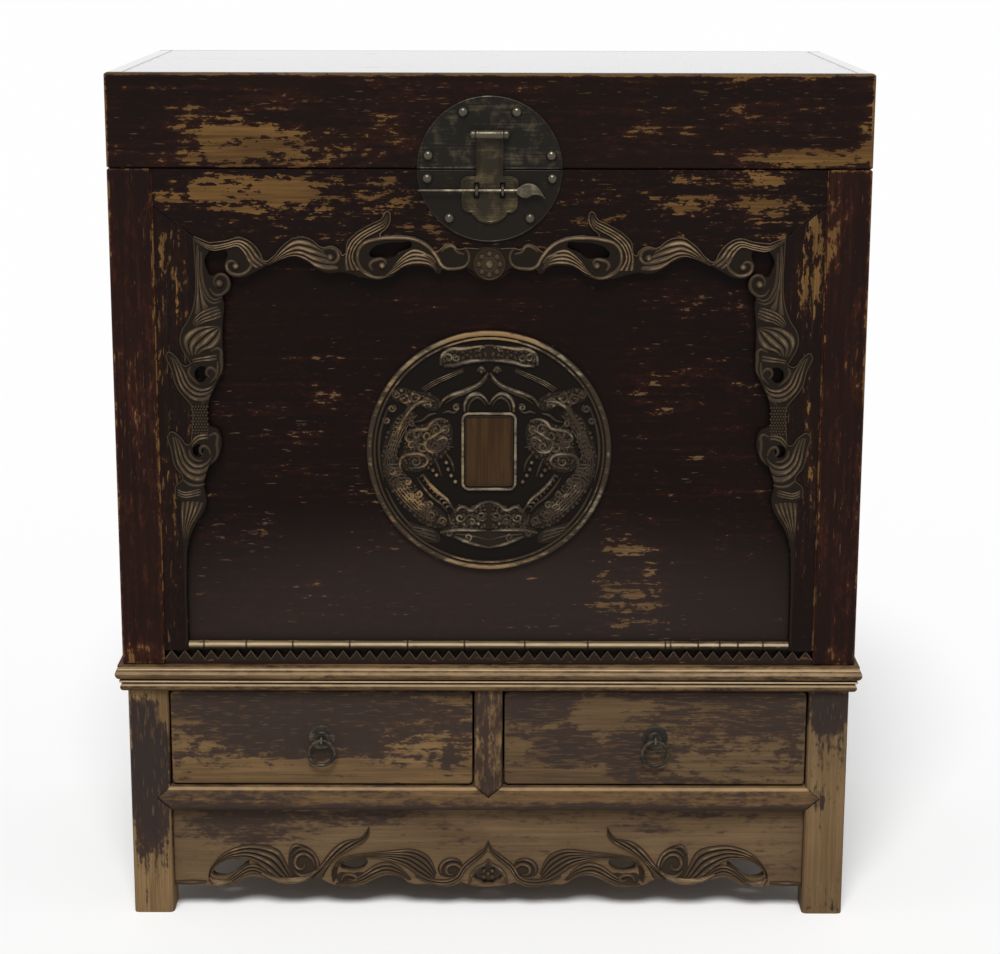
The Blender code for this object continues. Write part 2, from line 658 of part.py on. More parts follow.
# Stand: side and back boards
def build_stand_boards():
    front = LEG_FRONT + LEG_WIDTH + SEAT_GAP
    back = LEG_BACK - LEG_WIDTH - SEAT_GAP
    low = RAIL_BASE - SIDE_APRON_DROP
    arch = low + SIDE_APRON_ARCH
    quarter = (back - front) / 4
    edge = [(front, LEG_TOP, "sharp"), (front, low, "sharp"), (front + quarter / 2, low, "sharp"),
            (front + quarter, arch), (back - quarter, arch), (back - quarter / 2, low, "sharp"),
            (back, low, "sharp"), (back, LEG_TOP, "sharp")]
    for side, x in (("left", -1), ("right", 1)):
        piece = part("stand_side_" + side, outline_mesh([edge], STAND_BOARD), "worn_wood")
        piece.rotation_euler = (math.pi / 2, 0.0, math.pi / 2)
        piece.location = (x * (STAND_SIDE_INNER + STAND_BOARD / 2), 0.0, 0.0)
    board("stand_back", (-APRON_WIDTH, APRON_WIDTH), (STAND_BACK_FACE, STAND_BACK_FACE + STAND_BOARD),
          (RAIL_BASE, LEG_TOP), "worn_wood")


# Stand: drawer rail and divider, each with a pointed front let into the next piece
def build_drawer_rail():
    rail = outline("drawer_rail", rail_outline(0.0), LEG_FRONT, POINT_DEPTH, "worn_wood")
    depth = (LEG_FRONT + RAIL_SOFT, LEG_FRONT + RAIL_DEPTH)
    combine(rail, block((-APRON_WIDTH, APRON_WIDTH), depth, (RAIL_BASE, RAIL_TOP)), "UNION")
    notch = outline_tool(divider_outline(SEAT_GAP), LEG_FRONT - POINT_DEPTH,
                         2 * POINT_DEPTH + SEAT_GAP)
    combine(rail, notch, "DIFFERENCE")
    divider = outline("drawer_divider", divider_outline(0.0), LEG_FRONT, POINT_DEPTH, "worn_wood")
    half = DIVIDER_WIDTH / 2
    combine(divider, block((-half, half), depth, (RAIL_TOP + SEAT_GAP, LEG_TOP)), "UNION")


# Stand: apron with a carved lower edge, pierced eyes and raised leaves
def build_apron():
    front = LEG_FRONT + APRON_RECESS
    top = RAIL_BASE - SEAT_GAP
    edge = on_apron(APRON_EDGE)
    foot = edge[0][1]
    half = [(APRON_WIDTH, top, "sharp"), (APRON_WIDTH, foot, "sharp")] + edge
    loops = [half + mirror(half[::-1])]
    for eye in APRON_EYES:
        loops += [on_apron(eye), mirror(on_apron(eye))]
    ogee = on_apron(OGEE)
    loops.append(ogee + mirror(ogee[-2::-1]))
    apron = outline("carved_apron", loops, front, APRON_THICK, "worn_wood")
    ribs = [on_apron(rib) for rib in APRON_RIBS]
    ribs += [mirror(rib) for rib in ribs]
    add_ribs(apron, ribs, front, APRON_RIB_RADIUS)


# Stand: runners that carry and guide the drawers
def runner(name, profile, front, back):
    outline(name, [sharp(profile)], front + SEAT_GAP, back - front - 2 * SEAT_GAP, "bare_wood")


def build_runners():
    low = RAIL_TOP - RUNNER_HEIGHT
    guide_top = RAIL_TOP + GUIDE_HEIGHT
    wall = STAND_SIDE_INNER - SEAT_GAP
    ledge = LEG_INNER - RUNNER_LEDGE
    side = [(wall, low), (wall, guide_top), (LEG_INNER, guide_top), (LEG_INNER, RAIL_TOP),
            (ledge, RAIL_TOP), (ledge, low)]
    between_legs = (LEG_FRONT + LEG_WIDTH, LEG_BACK - LEG_WIDTH)
    runner("runner_right", side, *between_legs)
    runner("runner_left", mirror(side), *between_legs)
    rib = DIVIDER_WIDTH / 2
    foot = rib + RUNNER_LEDGE
    half = [(foot, low), (foot, RAIL_TOP), (rib, RAIL_TOP), (rib, guide_top)]
    runner("runner_centre", half + mirror(half[::-1]), LEG_FRONT + RAIL_DEPTH, STAND_BACK_FACE)


# Drawers
def build_drawer(side, x):
    name = "drawer_" + side + "_"
    inner = DIVIDER_WIDTH / 2 + DRAWER_CLEAR
    outer = LEG_INNER - DRAWER_CLEAR
    middle = x * (inner + outer) / 2
    top = LEG_TOP - DRAWER_CLEAR
    slide = pivot(name + "slide", (middle, DRAWER_FACE, DRAWER_BASE))
    front_back = DRAWER_FACE + DRAWER_FRONT
    front = board(name + "front", sorted((x * inner, x * outer)), (DRAWER_FACE, front_back),
                  (RAIL_TOP + DRAWER_CLEAR, top), "worn_wood", slide, SOFT_EDGE)
    box_half = (outer - inner) / 2 - GUIDE_CLEAR
    wall_top = top - DRAWER_WALL_DROP
    run = (front_back + SEAT_GAP, DRAWER_END)
    bottom_low = DRAWER_BASE + DRAWER_BOTTOM_RAISE
    bottom_half = box_half - DRAWER_WALL + GROOVE - SEAT_GAP
    bottom_run = (front_back - GROOVE + SEAT_GAP, DRAWER_END - DRAWER_WALL + GROOVE - SEAT_GAP)
    spare = SEAT_GAP
    groove = block((middle - bottom_half - spare, middle + bottom_half + spare),
                   (bottom_run[0] - spare, bottom_run[1] + spare),
                   (bottom_low - spare, bottom_low + DRAWER_BOTTOM + spare))
    for hand, turn in (("left", -1), ("right", 1)):
        span = sorted((middle + turn * box_half, middle + turn * (box_half - DRAWER_WALL)))
        wall = board(name + "side_" + hand, span, run, (DRAWER_BASE, wall_top), "bare_wood", slide)
        combine(wall, groove, "DIFFERENCE")
    back_half = box_half - DRAWER_WALL - SEAT_GAP
    back = board(name + "back", (middle - back_half, middle + back_half),
                 (DRAWER_END - DRAWER_WALL, DRAWER_END), (DRAWER_BASE, wall_top), "bare_wood", slide)
    combine(front, groove, "DIFFERENCE")
    combine(back, groove, "DIFFERENCE")
    board(name + "bottom", (middle - bottom_half, middle + bottom_half), bottom_run,
          (bottom_low, bottom_low + DRAWER_BOTTOM), "bare_wood", slide)
    build_pull(name, middle, (RAIL_TOP + LEG_TOP) / 2, slide)


# Ring pull: a turned plate with a split-pin eye, and the ring that hangs in it
def staple_points(place, stand, loop, sink):
    bend = [(place[0], place[1] - math.sin(a) * loop, place[2] + math.cos(a) * loop)
            for a in [math.pi * i / EYE_STEPS for i in range(EYE_STEPS + 1)]]
    start = (place[0], place[1] + stand + sink, place[2] + loop)
    end = (place[0], place[1] + stand + sink, place[2] - loop)
    return [start] + bend + [end]


def build_pull(name, x, z, slide):
    rise = PULL_PLATE_RISE
    profile = turned_profile(PULL_PLATE_SHARES, PULL_PLATE_RADIUS, rise, 0.0)
    plate = turned(part(name + "pull_plate", profile, "bronze", slide), TURN_STEPS)
    plate.rotation_euler = (math.pi / 2, 0.0, 0.0)
    plate.location = (x, DRAWER_FACE - SEAT_GAP, z)
    eye = (x, DRAWER_FACE - PULL_EYE_STAND, z)
    points = staple_points(eye, PULL_EYE_STAND - SEAT_GAP - rise, PULL_EYE_LOOP, rise / 2)
    combine(plate, tool(tube_mesh(points, PULL_EYE_WIRE, smooth=0)), "UNION")
    hang = z - (PULL_EYE_LOOP - PULL_EYE_WIRE - RING_WIRE - SEAT_GAP)
    swing = pivot(name + "ring_axis", (x, eye[1], hang))
    swing.parent = slide
    swing.matrix_parent_inverse = Matrix.Translation(-slide.location)
    turns = [2 * math.pi * i / RING_STEPS for i in range(RING_STEPS)]
    low = hang - RING_RADIUS
    ring = [(x + RING_RADIUS * math.sin(a), eye[1], low + RING_RADIUS * math.cos(a)) for a in turns]
    part(name + "ring", tube_mesh(ring, RING_WIRE, smooth=0, closed=True), "bronze", swing)


# Box: posts, side, back and bottom boards
def build_case():
    for side, x in (("left", -1), ("right", 1)):
        post = sorted((x * POST_INNER, x * HALF_WIDTH))
        board("post_" + side, post, (FRONT_Y, FRONT_Y + FRONT_THICK), (BOX_BASE, BOX_TOP),
              "red_lacquer", None, SOFT_EDGE)
        wall = sorted((x * (HALF_WIDTH - CASE_BOARD), x * HALF_WIDTH))
        board("box_side_" + side, wall, (FRONT_Y + FRONT_THICK + SEAT_GAP, BACK_Y),
              (BOX_BASE, BOX_TOP), "lacquer", None, SOFT_EDGE)
    width = HALF_WIDTH - CASE_BOARD - SEAT_GAP
    board("box_back", (-width, width), (BACK_Y - CASE_BOARD, BACK_Y), (BOX_BASE, BOX_TOP), "lacquer")
    depth = (FRONT_Y + FRONT_THICK + SEAT_GAP, BACK_Y - CASE_BOARD - SEAT_GAP)
    board("box_bottom", (-width, width), depth, (BOX_BASE, BOX_BASE + BOTTOM_BOARD), "bare_wood")


# Where the straight foot of a stile ends, out from the centre line
def stile_foot():
    return below_top(((STILE_FOOT_X, CARVED_DROP),))[0][0]


# Box front: the panel, and the carved rail and stiles mitred round it
def build_front():
    board("front_panel", (-FRONT_HALF, FRONT_HALF), (PANEL_FRONT, FRONT_Y + FRONT_THICK),
          (BOX_BASE, BOX_TOP), "lacquer")
    (_, mitre), (corner_x, corner) = below_top(((CARVED_HALF, MITRE_DROP), INNER_CORNER))
    half = [(FRONT_HALF, BOX_TOP, "sharp"), (FRONT_HALF, mitre + SEAT_GAP, "sharp"),
            (corner_x, corner + SEAT_GAP, "sharp")] + below_top(RAIL_EDGE)
    middle = below_top(((0.0, RAIL_EDGE_MIDDLE),))
    hole = below_top(RAIL_HOLE)
    loops = [half + middle + mirror(half[::-1]), hole, mirror(hole)]
    rail = outline("carved_top_rail", loops, FRONT_Y, RAIL_THICK, "lacquer")
    boss = turned_profile(ROSETTE_SHARES, ROSETTE_RADIUS, ROSETTE_HEIGHT, ROSETTE_HEIGHT)
    rosette = turned(tool(boss), TURN_STEPS)
    rosette.rotation_euler = (math.pi / 2, 0.0, 0.0)
    rosette.location = (0.0, FRONT_Y, below_top(((0.0, ROSETTE_DROP),))[0][1])
    combine(rail, rosette, "UNION")
    ribs = [below_top(rib) for rib in RAIL_RIBS]
    add_ribs(rail, ribs + [mirror(rib) for rib in ribs], FRONT_Y, RIB_RADIUS)

    foot = TOOTH_TOP + SEAT_GAP
    foot_x = stile_foot()
    edge = [(FRONT_HALF, mitre - SEAT_GAP, "sharp"), (corner_x, corner - SEAT_GAP, "sharp")]
    edge += below_top(STILE_EDGE) + [(foot_x, foot, "sharp"), (FRONT_HALF, foot, "sharp")]
    holes = [below_top(hole) for hole in STILE_HOLES]
    ribs = [below_top(rib) for rib in STILE_RIBS]
    for side, flip in (("left", mirror), ("right", list)):
        loops = [flip(loop) for loop in (edge, *holes)]
        stile = outline("carved_stile_" + side, loops, FRONT_Y, RAIL_THICK, "lacquer")
        add_ribs(stile, [flip(rib) for rib in ribs], FRONT_Y, RIB_RADIUS)


# Box front: medallion with a double bead, a window frame and raised motifs
def chamfered(width, height, cut):
    a = width / 2
    b = height / 2
    corners = [(a - cut, b), (-a + cut, b), (-a, b - cut), (-a, -b + cut),
               (-a + cut, -b), (a - cut, -b), (a, -b + cut), (a, b - cut)]
    return sharp(corners)


def build_medallion():
    face = PANEL_FRONT - SEAT_GAP
    bead = BEAD_RADIUS
    outer = arc((MEDALLION_RADIUS - bead, MEDALLION_BASE), bead, 150, 0, 4)
    inner = arc((MEDALLION_RADIUS - 3 * bead, MEDALLION_BASE), bead, 180, 30, 4)
    profile = [(0.0, MEDALLION_BASE)] + inner + outer + [(MEDALLION_RADIUS, 0.0), (0.0, 0.0)]
    rail_low = below_top(((0.0, RAIL_EDGE_MIDDLE),))[0][1]
    centre = (0.0, (BAMBOO_TOP + rail_low) / 2 + MEDALLION_LIFT)
    disc = turned(part("medallion", profile_mesh(profile), "lacquer"), MEDALLION_STEPS)
    disc.rotation_euler = (math.pi / 2, 0.0, 0.0)
    disc.location = (centre[0], face, centre[1])
    inside = (WINDOW_WIDTH - 2 * WINDOW_FRAME, WINDOW_HEIGHT - 2 * WINDOW_FRAME)
    loops = [chamfered(WINDOW_WIDTH, WINDOW_HEIGHT, WINDOW_CHAMFER),
             chamfered(*inside, WINDOW_CHAMFER - WINDOW_FRAME / 2)]
    thick = WINDOW_RISE - MEDALLION_BASE / 2
    window = outline_tool(loops, face - WINDOW_RISE, thick)
    window.location.z = centre[1]
    combine(disc, window, "UNION")
    spread = MEDALLION_RADIUS / MOTIF_DISC
    motifs = [[(x * spread, z * spread) for x, z in motif] for motif in MOTIFS]
    motifs += [mirror(motif) for motif in motifs]
    add_ribs(disc, motifs, face - MEDALLION_BASE, MOTIF_RADIUS, centre)


# Box front: bamboo moulding between the stiles, over a toothed rail
def build_foot_mouldings():
    width = stile_foot() - SEAT_GAP
    count = round(2 * width / BAMBOO_SPACING)
    knot_half = BAMBOO_RADIUS / 2
    y = PANEL_FRONT - SEAT_GAP - BAMBOO_RADIUS * BAMBOO_KNOT
    points = [(-width, y, BAMBOO_AXIS)]
    swell = [1.0]
    for index in range(1, count):
        x = -width + 2 * width * index / count
        points += [(x + step * knot_half, y, BAMBOO_AXIS) for step in (-1, 0, 1)]
        swell += [1.0, BAMBOO_KNOT, 1.0]
    points.append((width, y, BAMBOO_AXIS))
    swell.append(1.0)
    mesh = tube_mesh(points, BAMBOO_RADIUS, sides=2, smooth=0, swell=swell)
    part("bamboo_moulding", mesh, "worn_wood")

    teeth = round(2 * FRONT_HALF / TOOTH_PITCH)
    pitch = 2 * FRONT_HALF / teeth
    low = BOX_BASE + TOOTH_BASE
    edge = [(FRONT_HALF, BOX_BASE), (FRONT_HALF, low)]
    for index in range(teeth):
        x = FRONT_HALF - pitch * index
        edge += [(x - pitch / 2, TOOTH_TOP), (x - pitch, low)]
    edge.append((-FRONT_HALF, BOX_BASE))
    front = PANEL_FRONT - SEAT_GAP - TOOTH_THICK
    outline("tooth_rail", [sharp(edge)], front, TOOTH_THICK, "lacquer")


# Lid: four boards round a top that is set flush between them
def build_lid(carrier):
    rim = (LID_BASE, LID_TOP)
    long = (-HALF_WIDTH, HALF_WIDTH)
    front = board("lid_front", long, (FRONT_Y, FRONT_Y + CASE_BOARD), rim, "lacquer", carrier,
                  SOFT_EDGE)
    round_top_edge(front.data)
    board("lid_back", long, (BACK_Y - CASE_BOARD, BACK_Y), rim, "lacquer", carrier, SOFT_EDGE)
    inner = (FRONT_Y + CASE_BOARD + SEAT_GAP, BACK_Y - CASE_BOARD - SEAT_GAP)
    for side, x in (("left", -1), ("right", 1)):
        wall = sorted((x * (HALF_WIDTH - CASE_BOARD), x * HALF_WIDTH))
        board("lid_" + side, wall, inner, rim, "lacquer", carrier, SOFT_EDGE)
    width = HALF_WIDTH - CASE_BOARD - SEAT_GAP
    board("lid_top", (-width, width), inner, (LID_TOP - LID_TOP_BOARD, LID_TOP), "lacquer", carrier)


# The lid's worn front edge is rounder than the others
def round_top_edge(mesh):
    bm = bmesh.new()
    bm.from_mesh(mesh)
    front = min(vert.co.y for vert in bm.verts)
    edges = [edge for edge in bm.edges if edge_axis(edge) == "X" and edge.verts[0].co.z > 0
             and all(abs(vert.co.y - front) < SOFT_EDGE / 2 for vert in edge.verts)]
    soften(bm, edges, LID_EDGE - SOFT_EDGE, 2)
    bm.to_mesh(mesh)
    bm.free()


# Lid hinges: two leaves with interleaved barrels on a pin
def build_hinge(side, x, carrier):
    name = "hinge_" + side + "_"
    third = HINGE_WIDTH / 3
    centre = Vector((x, LID_AXIS.y, LID_AXIS.z))
    clear = HINGE_BARREL + HINGE_BARREL_GAP
    leaf_y = (BACK_Y + SEAT_GAP, BACK_Y + SEAT_GAP + HINGE_LEAF)
    span = (x - HINGE_WIDTH / 2, x + HINGE_WIDTH / 2)
    bore = rod(HINGE_PIN_RADIUS + PIVOT_CLEAR, centre, 2 * HINGE_WIDTH)
    upper = (centre.z + clear, centre.z + HINGE_LEAF_HEIGHT)
    lower = (centre.z - HINGE_LEAF_HEIGHT, centre.z - clear)
    lid_leaf = board(name + "lid_leaf", span, leaf_y, upper, "bronze", carrier)
    box_leaf = board(name + "box_leaf", span, leaf_y, lower, "bronze")
    barrel = third - 2 * HINGE_BARREL_GAP
    for leaf, offset, up in ((lid_leaf, 0.0, 1), (box_leaf, -third, -1), (box_leaf, third, -1)):
        place = centre + Vector((offset, 0.0, 0.0))
        combine(leaf, rod(HINGE_BARREL, place, barrel), "UNION")
        tab = sorted((centre.z, centre.z + up * (clear + HINGE_LEAF)))
        half = barrel / 2 - SEAT_GAP
        tab_y = (leaf_y[0] + SEAT_GAP, leaf_y[1] - SEAT_GAP)
        combine(leaf, block((place.x - half, place.x + half), tab_y, tab), "UNION")
    combine(lid_leaf, bore, "DIFFERENCE")
    combine(box_leaf, bore, "DIFFERENCE")
    pin = part(name + "pin", rod_mesh(HINGE_PIN_RADIUS, HINGE_WIDTH), "bright_bronze")
    pin.location = centre


# Lock: two half plates with domed nails
def half_plate(name, start, chord, angles, carrier=None):
    rim = arc((0.0, BOX_TOP + LID_GAP / 2), PLATE_RADIUS, start, start + 180, PLATE_STEPS)
    edge = [(x, max(z, chord) if start == 0 else min(z, chord)) for x, z in rim]
    plate = outline(name, [sharp(edge)], PLATE_FRONT, PLATE_THICK, "bronze", carrier)
    for angle in angles:
        turn = math.radians(angle)
        bm = bmesh.new()
        bmesh.ops.create_uvsphere(bm, u_segments=NAIL_STEPS, v_segments=NAIL_STEPS // 2, radius=1.0,
                                  matrix=Matrix.Rotation(math.pi / 2, 4, "X"))
        for vert in bm.verts:
            depth = NAIL_RISE if vert.co.y < 0 else PLATE_THICK / 2
            vert.co = (vert.co.x * NAIL_RADIUS, vert.co.y * depth, vert.co.z * NAIL_RADIUS)
        nail = tool(mesh_from(bm))
        nail.location = (NAIL_CIRCLE * math.cos(turn), PLATE_FRONT + SEAT_GAP,
                         BOX_TOP + NAIL_CIRCLE * math.sin(turn))
        combine(plate, nail, "UNION")
    return plate


def build_plates(carrier):
    upper = half_plate("lock_plate_upper", 0, LID_BASE, UPPER_NAIL_ANGLES, carrier)
    ear = (HASP_BARREL_WIDTH - STRAP_WIDTH) / 2 - SEAT_GAP
    bore = rod(HASP_PIN_RADIUS + PIVOT_CLEAR, HASP_AXIS, 2 * HASP_BARREL_WIDTH)
    for x in (-1, 1):
        place = HASP_AXIS + Vector((x * (HASP_BARREL_WIDTH - ear) / 2, 0.0, 0.0))
        combine(upper, rod(HASP_BARREL, place, ear), "UNION")
        half = ear / 2 - SEAT_GAP
        rise = (HASP_BARREL + HASP_PIN_RADIUS) / 2
        foot = block((place.x - half, place.x + half), (HASP_AXIS.y, PLATE_FRONT + PLATE_THICK / 2),
                     (HASP_AXIS.z - rise, HASP_AXIS.z + rise))
        combine(upper, foot, "UNION")
    combine(upper, bore, "DIFFERENCE")
    mesh = rod_mesh(HASP_PIN_RADIUS, HASP_BARREL_WIDTH)
    pin = part("hasp_hinge_pin", mesh, "bright_bronze", carrier)
    pin.location = HASP_AXIS

    lower = half_plate("lock_plate_lower", 180, BOX_TOP, LOWER_NAIL_ANGLES)
    for x in (-EYE_SPREAD, EYE_SPREAD):
        points = staple_points(EYE_CENTRE + Vector((x, 0.0, 0.0)), EYE_STAND, EYE_LOOP, PLATE_THICK / 2)
        combine(lower, tool(tube_mesh(points, EYE_WIRE, smooth=0)), "UNION")


# Lock: hasp with a lobed tongue, slotted for the eyes
def build_hasp(carrier):
    strap = STRAP_WIDTH / 2
    wide = TONGUE_WIDTH / 2
    half = [(strap, HASP_AXIS.z, "sharp"), (strap, TONGUE_Z, "sharp")]
    half += [(wide * across, TONGUE_Z - TONGUE_LENGTH * down) for across, down in TONGUE_SHARES]
    low = TONGUE_Z - TONGUE_LENGTH
    edge = half + [(0.0, low)] + mirror(half[::-1])
    slot_half = EYE_WIRE + SLOT_CLEAR
    slot_reach = EYE_LOOP + EYE_WIRE + 2 * SLOT_CLEAR
    loops = [edge]
    for x in (-EYE_SPREAD, EYE_SPREAD):
        z = EYE_CENTRE.z
        loops.append(sharp([(x - slot_half, z - slot_reach), (x + slot_half, z - slot_reach),
                            (x + slot_half, z + slot_reach), (x - slot_half, z + slot_reach)]))
    front = PLATE_FRONT - HASP_OFF_PLATE - HASP_THICK
    hasp = outline("hasp", loops, front, HASP_THICK, "bronze", carrier)
    combine(hasp, rod(HASP_BARREL, HASP_AXIS, STRAP_WIDTH - 2 * SEAT_GAP), "UNION")
    combine(hasp, rod(HASP_PIN_RADIUS + PIVOT_CLEAR, HASP_AXIS, 2 * HASP_BARREL_WIDTH), "DIFFERENCE")


# Lock: tapered pin with a leaf-shaped end
def build_lock_pin(carrier):
    ends = ((-LOCK_PIN_LEFT, LOCK_PIN_TIP), (-EYE_SPREAD - EYE_LOOP, LOCK_PIN_RADIUS),
            (LOCK_PIN_RIGHT + PADDLE_LENGTH / 4, LOCK_PIN_RADIUS))
    points = [(x, EYE_CENTRE.y, EYE_CENTRE.z) for x, _ in ends]
    swell = [radius / LOCK_PIN_RADIUS for _, radius in ends]
    mesh = tube_mesh(points, LOCK_PIN_RADIUS, sides=2, smooth=0, swell=swell)
    pin = part("lock_pin", mesh, "bright_bronze", carrier)
    start = LOCK_PIN_RIGHT
    end = start + PADDLE_LENGTH
    belly = start + PADDLE_LENGTH * PADDLE_BELLY_SHARES[0]
    half = PADDLE_WIDTH / 2
    round_half = PADDLE_WIDTH * PADDLE_BELLY_SHARES[1]
    z = EYE_CENTRE.z
    leaf = [(start, z, "sharp"), (belly, z + round_half), (end, z + half, "sharp"),
            (start + PADDLE_LENGTH * PADDLE_NOTCH_SHARE, z), (end, z - half, "sharp"),
            (belly, z - round_half)]
    combine(pin, outline_tool([leaf], EYE_CENTRE.y - PADDLE_THICK / 2, PADDLE_THICK), "UNION")


def main():
    build_frame()
    build_legs()
    build_stand_boards()
    build_drawer_rail()
    build_apron()
    build_runners()
    for side, x in (("left", -1), ("right", 1)):
        build_drawer(side, x)
    build_case()
    build_front()
    build_medallion()
    build_foot_mouldings()
    lid_axis = pivot("lid_axis", LID_AXIS)
    build_lid(lid_axis)
    for side, x in (("left", -1), ("right", 1)):
        build_hinge(side, x * HINGE_SPREAD, lid_axis)
    build_plates(lid_axis)
    hasp_axis = pivot("hasp_axis", HASP_AXIS)
    hasp_axis.parent = lid_axis
    hasp_axis.matrix_parent_inverse = Matrix.Translation(-lid_axis.location)
    build_hasp(hasp_axis)
    build_lock_pin(pivot("lock_pin_axis", EYE_CENTRE))


main()
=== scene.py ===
import math
import random

import bmesh
import bpy
from mathutils import Matrix, Vector


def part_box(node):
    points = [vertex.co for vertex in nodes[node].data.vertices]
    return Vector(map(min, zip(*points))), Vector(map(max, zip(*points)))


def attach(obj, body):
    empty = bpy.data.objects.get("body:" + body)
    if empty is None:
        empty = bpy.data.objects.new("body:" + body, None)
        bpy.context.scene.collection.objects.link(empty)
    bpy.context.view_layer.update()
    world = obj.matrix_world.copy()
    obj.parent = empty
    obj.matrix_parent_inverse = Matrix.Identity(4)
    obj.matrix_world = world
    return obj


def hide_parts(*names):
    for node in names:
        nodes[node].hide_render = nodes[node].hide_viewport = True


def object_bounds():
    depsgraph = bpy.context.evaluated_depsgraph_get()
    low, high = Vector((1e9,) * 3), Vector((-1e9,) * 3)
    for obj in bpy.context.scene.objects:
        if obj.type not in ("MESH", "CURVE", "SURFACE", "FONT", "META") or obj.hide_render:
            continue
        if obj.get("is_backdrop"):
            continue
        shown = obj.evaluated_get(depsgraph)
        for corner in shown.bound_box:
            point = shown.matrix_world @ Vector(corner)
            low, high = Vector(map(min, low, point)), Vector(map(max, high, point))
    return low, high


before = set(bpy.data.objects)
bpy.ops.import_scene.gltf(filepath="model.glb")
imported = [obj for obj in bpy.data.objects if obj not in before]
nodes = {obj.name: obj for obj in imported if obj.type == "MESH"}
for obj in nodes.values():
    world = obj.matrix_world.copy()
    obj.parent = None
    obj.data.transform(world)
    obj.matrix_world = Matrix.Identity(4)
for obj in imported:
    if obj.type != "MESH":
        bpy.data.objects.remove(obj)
cadLow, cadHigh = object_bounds()
print("frame loaded:", len(nodes), "nodes")

# planes and places shared with the frame, in metres
frontY = -0.23455
backY = 0.24045
sideX = 0.425
boxTop = 0.884
railThick = 0.010
standTop = 0.310
frameOut = 0.0085
legFront = -0.23055
legInner = 0.374
legTop = 0.2777
railTop = 0.159
railBase = 0.129
lockZ = 0.8845
plateY = -0.23685
mm = 0.001
sides = (("left", -1), ("right", 1))


def tone(red, green, blue):  # a colour as it looks on a screen, 0 to 255
    return tuple((c / 255 / 12.92) if c < 10 else ((c / 255 + 0.055) / 1.055) ** 2.4
                 for c in (red, green, blue)) + (1.0,)


class Wire:  # a socket that takes part in sums
    def __init__(self, finish, socket):
        self.finish = finish
        self.socket = socket

    def math(self, operation, *others):
        return self.finish.node("ShaderNodeMath", {"operation": operation}, [self, *others])

    def __add__(self, other):
        return self.math("ADD", other)

    __radd__ = __add__

    def __mul__(self, other):
        return self.math("MULTIPLY", other)

    __rmul__ = __mul__

    def __sub__(self, other):
        return self.math("SUBTRACT", other)

    def __rsub__(self, other):
        return self.finish.node("ShaderNodeMath", {"operation": "SUBTRACT"}, [other, self])

    def least(self, other):
        return self.math("MINIMUM", other)

    def most(self, other):
        return self.math("MAXIMUM", other)


class Finish:
    def __init__(self, name, constants):
        self.material = bpy.data.materials.new(name)
        self.material.use_nodes = True
        self.tree = self.material.node_tree
        self.shader = self.tree.nodes["Principled BSDF"]
        for socket, value in constants.items():
            self.shader.inputs[socket].default_value = value
        self.place = self.node("ShaderNodeTexCoord", output="Object")
        split = self.node("ShaderNodeSeparateXYZ", values=[self.place]).socket.node
        self.x, self.y, self.z = (Wire(self, out) for out in split.outputs)

    def node(self, kind, settings=None, values=(), output=0):
        node = self.tree.nodes.new(kind)
        for name, value in (settings or {}).items():
            setattr(node, name, value)
        pairs = values.items() if isinstance(values, dict) else enumerate(values)
        for key, value in pairs:
            if isinstance(value, Wire):
                self.tree.links.new(value.socket, node.inputs[key])
            else:
                node.inputs[key].default_value = value
        return Wire(self, node.outputs[output])

    def noise(self, scale, detail=3.0, rough=0.55, shift=(0.0, 0.0, 0.0), twist=0.0):
        spot = self.node("ShaderNodeMapping", values={"Vector": self.place, "Location": shift, "Scale": scale})
        values = {"Vector": spot, "Scale": 1.0, "Detail": detail, "Roughness": rough, "Distortion": twist}
        return self.node("ShaderNodeTexNoise", values=values)

    def step(self, value, low, high):  # soft step from 0 to 1
        settings = {"interpolation_type": "SMOOTHSTEP"}
        return self.node("ShaderNodeMapRange", settings, {"Value": value, "From Min": low, "From Max": high})

    def mix(self, first, second, share):  # colours
        return self.node("ShaderNodeMix", {"data_type": "RGBA"}, {0: share, 6: first, 7: second}, 2)

    def crest(self):  # how high the carving stands, set by mark
        return self.node("ShaderNodeAttribute", {"attribute_name": "crest"}, output="Fac")

    def patch(self, x, z, wide, high, strength):  # soft oval on the front, from its middle and half sizes
        scale, shift = (1 / wide, 0.0, 1 / high), (-x / wide, 0.0, -z / high)
        oval = self.node("ShaderNodeVectorMath", {"operation": "MULTIPLY_ADD"}, [self.place, scale, shift])
        far = self.node("ShaderNodeVectorMath", {"operation": "LENGTH"}, [oval], "Value")
        return self.step(far, 1.15, 0.35) * strength

    def edge(self, box, reach):  # 1 along the edges of a board's box
        low, high = box
        ends = [(self.x, 0), (self.y, 1), (self.z, 2)]
        a, b, c = [(axis - low[i]).least(high[i] - axis) for axis, i in ends]
        return self.step(a.least(b).most(a.most(b).least(c)), reach, 0.0)

    def link(self, socket, wire):
        self.tree.links.new(wire.socket, self.shader.inputs[socket])

    def paint(self, colour, rough, height, depth, strength=0.6):
        bump = self.node("ShaderNodeBump", values={"Height": height, "Distance": depth, "Strength": strength})
        self.link("Base Color", colour)
        self.link("Roughness", rough)
        self.link("Normal", bump)


woodTones = {
    "lacquer": tone(14, 9, 7),
    "under": tone(66, 33, 22),
    "fleck": tone(104, 78, 50),
    "wood": tone(114, 84, 47),
    "woodDark": tone(72, 51, 28),
    # pale tone painted on the lacquer as a reflection of the floor
    "paintedSheen": tone(62, 52, 47),
}
grainAxes = {"X": 0, "Y": 1, "Z": 2}
bareFrom = 0.615  # wear at which the wood shows
fleckShare = 0.9
woodRelief = 0.0006
# rubbed bronze on raised places, partly a painted highlight
rubbedHighlightTone = tone(92, 87, 75)  # bronze on raised places
seedCount = [0]  # shifts the noise of each finish


